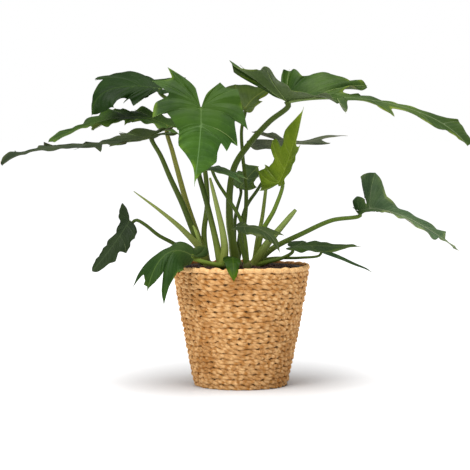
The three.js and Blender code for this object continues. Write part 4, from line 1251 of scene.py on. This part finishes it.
    def ribs(self) -> list[Mesh]:
        """The raised veins of the underside: tapering tubes along the midrib and along the ray of each lobe."""
        leaf = self.leaf
        u = np.linspace(0, self.rib_end, self.rib_rings)
        centre, _, normal, _ = leaf.frame_at(u)
        radii = np.maximum(leaf.girth[1] * self.rib_share * (1 - u) ** self.rib_power, self.rib_least)
        tubes = [tube(centre - normal * radii[:, None] * self.rib_drop, radii, self.rib_sides)]
        for half in (0, 1):
            placed = self.half_grid(half)["placed"]
            for k in self.lobes(half):
                line = placed[k * self.cuts]
                if lengths_along(line)[-1] < self.vein_span * leaf.length:
                    continue
                start = leaf.outline[k][0]
                thick = min(self.vein_share * float(np.interp(start, u, radii)), self.vein_most)
                slim = np.linspace(thick, self.vein_least, len(line))
                normals = leaf.frame_at(np.full(len(line), start))[2]
                below = square_to(normals, unit(np.gradient(line, axis=0)))
                drop = slim[:, None] * self.vein_drop + self.vein_gap
                tubes.append(tube(line - below * drop, slim, self.vein_sides))
        for rib in tubes:
            size = len(rib.points)
            rib.values = {key: np.full(size, FAR_AWAY) for key in ("vein", "edge", "ray")}
            rib.values["tone"] = np.tile((*leaf.tone.value[1].vein, 1.0), (size, 1))
            rib.finishes = np.full(len(rib.triangles), 2.0)
        return tubes

    def build(self, materials: Materials) -> bpy.types.Object:
        """Makes the piece."""
        name, tone = self.leaf.name, self.leaf.tone
        finishes = [materials[finish.name] for finish in (*tone.value, RIB)]
        slot = "young_leaf" if tone is Tone.LIME else "leaf"
        return self.mesh().piece(f"{name}_blade", slot, (f"blade_{name}",), finishes)


@dataclass(frozen=True)
class Spear:
    """A rolled young leaf or an empty sheath: its way, its girth at both ends and its colours."""

    path: tuple[Point, ...]
    girth: Pair
    foot_colour: Colour = (0.5, 0.52, 0.18)
    stalk_colour_and_shade: Colour = (0.33, 0.42, 0.1)


@dataclass
class Shoot:
    """A short stem in the soil, with its leaf stalks, spears and the rings of old leaf bases.

    The two shapes are (sheath, swell): how much thicker a stalk is than its even taper, as a share, at its root and
    at its end. Each fades over a length of its own.
    """

    name: str
    stem: Pair
    spears: tuple[Spear, ...] = ()
    radius: float = 8.5
    foot: float = 112.0
    top: float = 188.0
    root: float = 184.0
    stem_sides: int = 20
    stem_rings: int = 24
    ring_depth: float = 0.05
    ring_pace: float = 0.9
    tip_radii: Point = (0.85, 0.55, 0.2)
    tip_heights: Point = (2.5, 4.8, 6.0)
    stem_colour: Colour = (0.12, 0.12, 0.035)
    leaf_shape: Pair = (0.3, 0.18)
    spear_shape: Pair = (0.12, -0.25)
    sheath_fade: float = 30.0
    swell_fade: float = 8.0
    colour_reach: float = 0.45
    sides: int = 14
    step: float = 4.0

    def stalk(self, path: Array, of: Leaf | Spear, shape: Pair) -> Mesh:
        """One stalk, which tapers evenly, with a sheath at its root and a swelling under its blade.

        The radius is the even taper times one plus the sheath, which fades from the root, plus the swelling, which
        fades from the end. The tone runs smoothly from the foot's colour to the stalk's over the first part. The
        stalk's colour is darkened as painted shade on stalks that stand in shade.

        Args:
            path: The points it passes.
            of: The leaf or spear, for its girth and colours.
            shape: The sheath and the swelling.

        Returns:
            The stalk, with its tone.
        """
        line = spline(path, self.step)
        along = lengths_along(line)
        share = along / along[-1]
        sheath = shape[0] * np.exp(-((along / self.sheath_fade) ** 2))
        swell = shape[1] * np.exp(-(((along[-1] - along) / self.swell_fade) ** 2))
        body = tube(line, (of.girth[0] + (of.girth[1] - of.girth[0]) * share) * (1 + sheath + swell), self.sides)
        rise = np.clip(share / self.colour_reach, 0, 1)[:, None]
        rise = rise * rise * (3 - 2 * rise)
        # from the foot's colour to the stalk's, which holds painted shade on stalks in shade
        tones = np.array(of.foot_colour) * (1 - rise) + np.array(of.stalk_colour_and_shade) * rise
        tones = np.repeat(np.column_stack([tones, np.ones(len(line))]), self.sides, axis=0)
        body.values["tone"] = np.vstack([tones, tones[:1], tones[-1:]])
        return body

    def stem_body(self) -> Mesh:
        """The stem, with shallow rings and a rounded top."""
        heights = np.linspace(self.foot, self.top, self.stem_rings)
        radii = self.radius * (1 + self.ring_depth * np.sin(heights * self.ring_pace))
        radii = np.concatenate([radii, self.radius * np.array(self.tip_radii)])
        heights = np.concatenate([heights, self.top + np.array(self.tip_heights)])
        body = tube(np.column_stack([np.tile(self.stem, (len(heights), 1)), heights]), radii, self.stem_sides)
        body.values["tone"] = np.tile((*self.stem_colour, 1.0), (len(body.points), 1))
        return body

    def build(self, leaves: tuple[Leaf, ...], materials: Materials) -> bpy.types.Object:
        """Makes the piece, with the stalks of the shoot's own leaves."""
        root = (*self.stem, self.root)
        own = [leaf for leaf in leaves if leaf.shoot == self.name]
        stalks = [self.stalk(leaf.stalk_path(root), leaf, self.leaf_shape) for leaf in own]
        spears = [self.stalk(np.vstack([root, spear.path]), spear, self.spear_shape) for spear in self.spears]
        mesh = Mesh.joined([self.stem_body(), *stalks, *spears])
        return mesh.piece(f"{self.name}_shoot", "stalk", (f"shoot_{self.name}",), [materials[STALK.name]])


SHOOTS: tuple[Shoot, ...] = (
    Shoot(
        "left", (-52, 0),
        (
            Spear(
                ((-58, -10, 204), (-87, -20, 238), (-123, -25, 269), (-163, -30, 299)), (6.5, 0.9),
                (0.208, 0.238, 0.046), (0.173, 0.208, 0.053),
            ),
            Spear(((-60, -4, 200), (-64, -4, 216), (-68, -6, 232), (-74, -8, 246)), (6, 2.5)),
        ),
    ),
    Shoot(
        "front", (-30, -35),
        (
            Spear(
                ((-25, -40, 207), (-27, -43, 233), (-37, -46, 279), (-47, -50, 320)), (6.5, 2.4),
                (0.208, 0.248, 0.041), (0.207, 0.254, 0.067),
            ),
        ),
    ),
    Shoot("middle", (-7, 18), (Spear(((-13, 20, 200), (-16, 24, 222), (-20, 28, 244), (-22, 33, 272)), (5, 2)),)),
    Shoot(
        "right", (20, -5),
        (
            Spear(
                ((25, -10, 196), (41, -20, 220), (64, -28, 248), (83, -32, 271)), (7, 3.6),
                (0.208, 0.248, 0.046), (0.173, 0.231, 0.058),
            ),
            Spear(
                ((22, 6, 198), (26, 10, 226), (32, 12, 253), (40, 12, 315)), (4, 2.4),
                (0.223, 0.258, 0.046), (0.138, 0.185, 0.031),
            ),
        ),
    ),
    Shoot("inner", (9, -42), radius=6.5),
)


@dataclass
class Basket:
    """The seagrass basket: rows of two-ply rope round a flaring wall, a coiled base and an inner wall in painted
    shade.

    Lengths are millimetres. The wavers vary a row's height, radius and twist, and a strand's swing, girth and shade.
    A drift is (size, cycles in a turn, the height over which it drifts by a radian, start in radians). The gaps are
    darkened as painted shade from gap_shade_start out of the rope's middle inwards, over gap_shade_length. The lining
    is a thin wall of its own.
    """

    height: float = 186.0
    base_radius: float = 71.5
    rim_radius: float = 106.0
    bulge: float = 1.2
    rows: int = 23
    rim_rows: int = 3
    twist: float = 31.0
    twist_spread: Pair = (0.92, 1.1)
    strand: float = 2.7
    strand_oval: float = 1.12
    rise: float = 2.3
    depth: float = 1.4
    overlap: float = 0.8
    foot_inset: float = 1.2
    steps: int = 12
    sides: int = 8
    row_wavers: tuple[Waver, Waver] = (Waver(0.3, 4, 14), Waver(0.5, 16, 40))
    radius_waver: Waver = Waver(0.4, 2, 12)
    twist_waver: Waver = Waver(0.35, 3, 14)
    swing_waver: Waver = Waver(0.08, 12, 40)
    girth_waver: Waver = Waver(0.07, 8, 60)
    shade_waver: Waver = Waver(0.22, 20, 70)
    drifts: tuple[Row, ...] = ((1.1, 3, 31.0, 0.6), (0.7, 7, -23.0, 0.0), (0.3, 13, 9.0, 0.0))
    drift_fades: tuple[float, float, float] = (40.0, 6.0, 30.0)
    plain_swing: float = 0.6
    plain_girth: float = 0.22
    plain_shade: float = 0.35
    shade: float = 0.5
    gap_shade_start: float = 0.9
    gap_shade_length: float = 3.5
    hub: float = 4.0
    base_gap: float = 0.9
    stand: float = 0.1
    wall: float = 8.0
    floor: float = 8.0
    lining_top: float = 3.5
    lining_outset: float = 5.2
    lining_inset: float = 0.3
    lining_foot: Pair = (7.0, 4.5)
    lining_floor: float = 0.2
    # The lining's strand tone and gap depth. The depth darkens it further as painted shade.
    lining_shade: Pair = (0.4, 0.5)
    lining_rings: int = 40
    lining_sides: int = 96
    seed: int = 7

    def radius_at(self, z: Array) -> Array:
        """The outer radius at a height: an even flare with a slight bulge half way up."""
        share = z / self.height
        return self.base_radius + (self.rim_radius - self.base_radius) * share + self.bulge * np.sin(np.pi * share)

    @staticmethod
    def headings(path: Array, ring: bool) -> Array:
        """The direction of a path at each point, round the seam as well where it is a ring."""
        if ring:
            return unit(np.roll(path, -1, axis=0) - np.roll(path, 1, axis=0))
        return unit(np.gradient(path, axis=0))

    def strands(self, path: Array, out: Array, phase: Array, rng: Random, plain: float, ring: bool) -> Mesh:
        """The two strands of a rope.

        A strand's middle circles the rope's path in an oval, half a turn from the other strand's, and its own
        section is an oval across its own direction. Both vary a little along the way.

        Args:
            path: The middle of the rope.
            out: The direction out of the basket at each point.
            phase: The angle of the first strand at each point.
            rng: The source of the variation.
            plain: How much smoother than a full twist the rope is, from 0 to 1.
            ring: Whether the rope's end joins its start.

        Returns:
            Both strands, with shade and depth for their material.
        """
        count = len(path)
        turn = ring_angles(count)
        up = unit(np.cross(out, self.headings(path, ring)))
        length = lengths_along(path) / UV_UNIT
        parts = []
        for k in (0, 1):
            angle = phase + k * math.pi
            swing = ((1 - self.plain_swing * plain) * (1 + self.swing_waver.at(turn, rng)))[:, None]
            circle = out * self.depth * np.cos(angle)[:, None] + up * self.rise * np.sin(angle)[:, None]
            middle = path + swing * circle
            along = self.headings(middle, ring)
            away = square_to(unit(middle - path), along)
            radius = self.strand * (1 + self.plain_girth * plain) * (1 + self.girth_waver.at(turn, rng))
            rings = rings_round(middle, radius, away, np.cross(along, away), self.sides, self.strand_oval)
            reach = ((rings - path[:, None]) * out[:, None]).sum(-1)
            # how deep in the gaps each point lies, which the material darkens as painted shade
            depth = np.clip((self.gap_shade_start - reach) / self.gap_shade_length, 0, 1).ravel()
            shade = self.shade + self.shade_waver.at(turn, rng) + self.plain_shade * plain
            shade = np.repeat(np.clip(shade, 0, 1), self.sides)
            uv = uv_grid(length[:, None], there_and_back(self.sides) + 3 * k)
            points = rings.reshape(-1, 3)
            if not ring:
                points = np.vstack([points, middle[:1], middle[-1:]])
                depth, shade, uv = (np.concatenate([value, value[:1], value[-1:]]) for value in (depth, shade, uv))
            triangles = tube_triangles(count, self.sides, ring)[:, ::-1]
            parts.append(Mesh(points, triangles, {"shade": shade, "depth": depth}, uv))
        mesh = Mesh.joined(parts)
        mesh.points[:, 2] = np.maximum(mesh.points[:, 2], self.stand)
        return mesh

    def shared_wave(self, turn: Array, z: float) -> Array:
        """The slow rise and fall that all rows share: waves round the wall that drift with height."""
        low, over, high = self.drift_fades
        waves = sum(size * np.sin(cycles * turn + z / slow + start) for size, cycles, slow, start in self.drifts)
        return min(z / low, 1.0, (self.height + over - z) / high) * waves

    def row(self, index: int, rng: Random) -> Mesh:
        """One closed row of rope. It wavers a little, the top row is smoother, and the bottom row stands flat."""
        z = (index + 0.5) * (self.height / self.rows)
        core = self.strand + self.depth - self.overlap
        radius = float(self.radius_at(np.array(z))) - core
        twists = round(2 * math.pi * radius / (self.twist * rng.uniform(*self.twist_spread)))
        turn = ring_angles(twists * self.steps)
        waver = sum(waver.at(turn, rng) for waver in self.row_wavers)
        height = z + (waver + self.shared_wave(turn, z)) * (0 if index == 0 else 1)
        middle = radius + self.radius_waver.at(turn, rng) - (self.foot_inset if index == 0 else 0)
        out = np.column_stack([np.cos(turn), np.sin(turn), np.zeros(len(turn))])
        path = out * middle[:, None] + np.column_stack([np.zeros((len(turn), 2)), height])
        phase = -twists * turn + rng.uniform(0, 2 * math.pi) + self.twist_waver.at(turn, rng)
        return self.strands(path, out, phase, rng, 1.0 if index == self.rows - 1 else 0.0, True)

    def base(self, rng: Random) -> Mesh:
        """The coiled base: one rope in a flat spiral from the middle to the wall, seen only from below."""
        pitch = self.height / self.rows
        core = self.strand + self.depth
        end = self.base_radius - core - pitch * self.base_gap
        turns = (end - self.hub) / pitch
        steps = round(turns * (end + self.hub) * math.pi / self.twist * self.steps)
        theta = np.linspace(0, turns * 2 * math.pi, steps)
        radius = self.hub + pitch * theta / (2 * math.pi)
        level = np.full(steps, core + self.stand)
        path = np.column_stack([radius * np.cos(theta), radius * np.sin(theta), level])
        phase = -lengths_along(path) / self.twist * 2 * math.pi
        return self.strands(path, np.tile((0.0, 0.0, -1.0), (steps, 1)), phase, rng, 0.0, False)

    def liner(self) -> Mesh:
        """The inner wall and floor, which close the gaps between the rows, in seagrass darkened as painted shade."""
        z = np.linspace(self.floor, self.height - self.lining_top, self.lining_rings)
        outer = np.column_stack([self.radius_at(z) - self.lining_outset, z])
        inner = np.column_stack([self.radius_at(z) - self.wall + self.lining_inset, z])[::-1]
        inset, low = self.lining_foot
        foot = [[0.0, low], [self.base_radius - inset, low]]
        mesh = lathe(np.vstack([foot, outer, inner, [[0.0, self.floor - self.lining_floor]]]), self.lining_sides)
        shade, depth = self.lining_shade
        mesh.values = {"shade": np.full(len(mesh.points), shade), "depth": np.full(len(mesh.points), depth)}
        return mesh

    def build(self, materials: Materials) -> None:
        """Makes the pieces of the basket."""
        rng = np.random.default_rng(self.seed)
        rows = [self.row(index, rng) for index in range(self.rows)]
        split = self.rows - self.rim_rows
        for name, mesh, finish in (
            ("wall_lower", Mesh.joined(rows[: split // 2]), ROPE),
            ("wall_upper", Mesh.joined(rows[split // 2 : split]), ROPE),
            ("rim", Mesh.joined(rows[split:]), ROPE),
            ("base", self.base(rng), ROPE),
            ("lining", self.liner(), SHADED_LINER),
        ):
            mesh.piece(f"basket_{name}", "rope", ("basket",), [materials[finish.name]])


@dataclass
class GrowPot:
    """The thin black grow pot with its turned-out lip, which stands on the basket's floor."""

    base_radius: float = 59.0
    neck_radius: float = 90.0
    lip_radius: float = 94.0
    lip_height: float = 6.0
    lip_step: float = 1.0
    top: float = 182.0
    wall: float = 1.6
    foot: float = 8.3
    foot_bevel: float = 1.5
    lower_bevel: float = 0.5
    upper_bevel: float = 0.6
    segments: int = 96

    def build(self, materials: Materials) -> bpy.types.Object:
        """Makes the piece: a lathe of its walls, with bevelled edges at the foot and the lip."""
        base, lip, low, top = self.base_radius, self.lip_radius, self.foot, self.top
        inner, neck, bevel = self.neck_radius - self.wall, self.top - self.lip_height, self.upper_bevel
        profile = [
            (0, low), (base - self.foot_bevel, low), (base, low + self.foot_bevel), (self.neck_radius, neck),
            (lip - self.lower_bevel, neck), (lip, neck + self.lower_bevel), (lip, top - bevel), (lip - bevel, top),
            (inner + self.lip_step + bevel, top), (inner + self.lip_step, top - bevel), (inner, neck),
            (base - self.wall, low + self.wall), (0, low + self.wall),
        ]
        mesh = lathe(np.array(profile), self.segments)
        return mesh.piece("grow_pot_shell", "grow_pot", ("grow_pot",), [materials[POT.name]])


@dataclass
class Soil:
    """The soil in the grow pot: a rough, slightly heaped top with loose crumbs and bits of bark.

    Its bumps are (wavelength along X, wavelength along Y, height), and its small bumps the same along the diagonals.
    """

    foot_radius: float = 57.0
    top_radius: float = 87.8
    foot: float = 10.3
    edge: float = 178.0
    crown: float = 183.0
    innermost: float = 0.02
    bumps: Point = (17, 15, 0.9)
    small_bumps: Point = (7, 6, 0.55)
    crumbs: int = 520
    crumb_margin: float = 3.0
    crumb_lift: float = 0.3
    crumb_size: Pair = (0.9, 3.4)
    crumb_squeeze: Pair = (0.45, 1.2)
    crumb_swell: float = 0.25
    rings: int = 70
    segments: int = 160
    seed: int = 11

    def height(self, x: Array, y: Array, rng: Random) -> Array:
        """The height of the top: a low heap, with bumps that are the product of two random waves."""
        share = np.hypot(x, y) / self.top_radius
        heap = self.edge + (self.crown - self.edge) * (1 - share**2)
        (long, broad, high), (thin, short, low) = self.bumps, self.small_bumps
        rough = wander(x, long, rng) * wander(y, broad, rng) * high
        return heap + (rough + wander(x + y, thin, rng) * wander(x - y, short, rng) * low)

    def body(self, rng: Random) -> Mesh:
        """The closed body of the soil: its rough top, the wall along the pot and a flat bottom."""
        share = np.linspace(1, self.innermost, self.rings)
        rim = np.column_stack([share * self.top_radius, np.full(self.rings, self.edge)])
        bottom = [[0, self.foot], [self.foot_radius, self.foot]]
        mesh = lathe(np.vstack([bottom, rim, [[0, self.crown]]]), self.segments)
        top = mesh.points[:, 2] > self.foot + 1
        mesh.points[top, 2] = self.height(mesh.points[top, 0], mesh.points[top, 1], rng)
        patches = wander(mesh.points[:, 0] * 1.3 + mesh.points[:, 1], 9, rng)
        mesh.values = {"shade": np.clip(0.25 + 0.2 * patches, 0, 1)}
        mesh.uv = None
        return mesh

    def loose(self, rng: Random) -> Mesh:
        """The loose crumbs: round lumps with a random swelling, squeezed differently along each axis and turned.

        A crumb's turn is the matrix of a random unit quaternion.
        """
        ball = crumb_shape()
        count = len(ball.points)
        place = np.sqrt(rng.uniform(self.innermost, 1, self.crumbs)) * (self.top_radius - self.crumb_margin)
        turn = rng.uniform(0, 2 * math.pi, self.crumbs)
        x, y = place * np.cos(turn), place * np.sin(turn)
        z = self.height(x, y, np.random.default_rng(self.seed)) + self.crumb_lift
        size = rng.uniform(*self.crumb_size, (self.crumbs, 1, 1))
        size = size * rng.uniform(*self.crumb_squeeze, (self.crumbs, 1, 3))
        swell = 1 + self.crumb_swell * rng.uniform(-1, 1, (self.crumbs, count, 1))
        lumps = ball.points[None] * swell * size
        spin = rng.normal(size=(self.crumbs, 4))
        w, i, j, k = (spin / np.linalg.norm(spin, axis=1, keepdims=True)).T
        turns = np.array(
            [
                [1 - 2 * (j * j + k * k), 2 * (i * j - k * w), 2 * (i * k + j * w)],
                [2 * (i * j + k * w), 1 - 2 * (i * i + k * k), 2 * (j * k - i * w)],
                [2 * (i * k - j * w), 2 * (j * k + i * w), 1 - 2 * (i * i + j * j)],
            ]
        ).transpose(2, 0, 1)
        points = np.einsum("nij,nkj->nki", turns, lumps) + np.column_stack([x, y, z])[:, None]
        triangles = ball.triangles[None] + (np.arange(self.crumbs) * count)[:, None, None]
        shade = np.repeat(rng.uniform(0, 1, self.crumbs) ** 1.5, count)
        return Mesh(points.reshape(-1, 3), triangles.reshape(-1, 3), {"shade": shade})

    def build(self, materials: Materials) -> bpy.types.Object:
        """Makes the piece."""
        body = self.body(np.random.default_rng(self.seed))
        loose = self.loose(np.random.default_rng(self.seed + 1))
        return Mesh.joined([body, loose]).piece("soil_bed", "soil", ("soil",), [materials[SOIL.name]])


def crumb_shape() -> Mesh:
    """A round lump: the six corners of an octahedron, each face cut in four and pushed out to the sphere."""
    corners = np.array([(1, 0, 0), (-1, 0, 0), (0, 1, 0), (0, -1, 0), (0, 0, 1), (0, 0, -1)], float)
    faces = np.array([(0, 2, 4), (2, 1, 4), (1, 3, 4), (3, 0, 4), (2, 0, 5), (1, 2, 5), (3, 1, 5), (0, 3, 5)])
    a, b, c = (corners[faces[:, k]] for k in range(3))
    ab, bc, ca = unit(a + b), unit(b + c), unit(c + a)
    cut = [(a, ab, ca), (ab, b, bc), (ca, bc, c), (ab, bc, ca)]
    loose = np.concatenate([np.stack(corner, 1).reshape(-1, 3) for corner in cut])
    points, where = np.unique(np.round(loose, 6), axis=0, return_inverse=True)
    return Mesh(points, where.reshape(-1, 3))


@dataclass(frozen=True)
class Lamp:
    """A square soft light that faces the plant, with its place and size in metres and its power in watts."""

    name: str
    place: Point
    size: float
    power: float
    colour: Colour = (1.0, 0.99, 0.97)
    aim: Point = (0.0, 0.0, 0.25)

    def build(self) -> None:
        """Adds the light."""
        data = bpy.data.lights.new(self.name, "AREA")
        data.size = self.size
        data.energy = self.power
        data.color = self.colour
        lamp = linked(self.name, data)
        lamp.location = self.place
        aim = np.array(self.aim) - np.array(self.place)
        yaw = math.atan2(aim[1], aim[0])
        down = math.atan2(math.hypot(aim[0], aim[1]), -aim[2])
        lamp.rotation_euler = (down, 0.0, yaw - math.pi / 2)


@dataclass
class Studio:
    """The camera, the floor and the soft lights. The camera stands in millimetres and pitches in degrees."""

    place: Point = (-9.2, -3200.0, 412.0)
    pitch: float = -3.24
    lens: float = 160.0
    sensor: float = 36.0
    view_end: float = 200.0
    floor_size: float = 60.0
    sky: float = 0.46
    sky_colour: Colour = (0.97, 0.985, 1.0)
    lamps: tuple[Lamp, ...] = (
        Lamp("top", (-0.05, -0.6, 2.5), 2.1, 88.0),
        Lamp("front_left", (-1.5, -2.4, 1.5), 1.4, 38.0),
    )

    def sky_light(self) -> None:
        """Sets the plain white surroundings, brighter to the camera than they shine."""
        world = bpy.data.worlds.new("studio_sky")
        graph = Graph(world)
        shining = graph.add("ShaderNodeBackground", {"Strength": self.sky, "Color": self.sky_colour})
        seen = graph.add("ShaderNodeBackground", {"Strength": 1.0, "Color": (1.0, 1.0, 1.0)})
        direct = graph.add("ShaderNodeLightPath").outputs["Is Camera Ray"]
        both = graph.add("ShaderNodeMixShader", {0: direct, 1: shining.outputs[0], 2: seen.outputs[0]})
        graph.add("ShaderNodeOutputWorld", {"Surface": both.outputs[0]})
        bpy.context.scene.world = world

    def camera(self) -> None:
        """Sets up the camera, straight in front of the plant."""
        data = bpy.data.cameras.new("camera")
        data.lens = self.lens
        data.sensor_width = self.sensor
        data.clip_end = self.view_end
        camera = linked("camera", data)
        camera.location = np.array(self.place) * MM
        camera.rotation_euler = (math.radians(90 + self.pitch), 0.0, 0.0)
        bpy.context.scene.camera = camera

    def floor(self, materials: Materials) -> None:
        """Lays the floor under the plant."""
        half = self.floor_size / 2
        corners = [(-half, -half, 0), (half, -half, 0), (half, half, 0), (-half, half, 0)]
        mesh = bpy.data.meshes.new("floor")
        mesh.from_pydata(corners, [], [(0, 1, 2, 3)])
        mesh.materials.append(materials[FLOOR.name])
        floor = linked("floor", mesh)

    def build(self, materials: Materials) -> None:
        """Sets up the camera, the floor, the lights and the colour transform."""
        self.camera()
        self.floor(materials)
        self.sky_light()
        for lamp in self.lamps:
            lamp.build()
        view = bpy.context.scene.view_settings
        view.view_transform = "Standard"
        view.look = "None"


def make_materials() -> Materials:
    """All materials of the scene, by name."""
    finishes = [RIB, STALK, ROPE, SHADED_LINER, SOIL, POT, FLOOR, *(finish for tone in Tone for finish in tone.value)]
    return {finish.name: finish.material() for finish in finishes}


def main() -> None:
    """Builds the plant, from the studio to the leaves."""
    logging.basicConfig(level=logging.INFO, format="%(message)s")
    materials = make_materials()
    for part in (Studio(), Basket(), GrowPot(), Soil()):
        part.build(materials)
    for shoot in SHOOTS:
        shoot.build(LEAVES, materials)
    for number, leaf in enumerate(LEAVES):
        cuts, bands = FINE_GRID if leaf.length > SMALL_LEAF else COARSE_GRID
        Blade(leaf, cuts, bands, seed=number).build(materials)


if __name__ == "__main__":
    main()
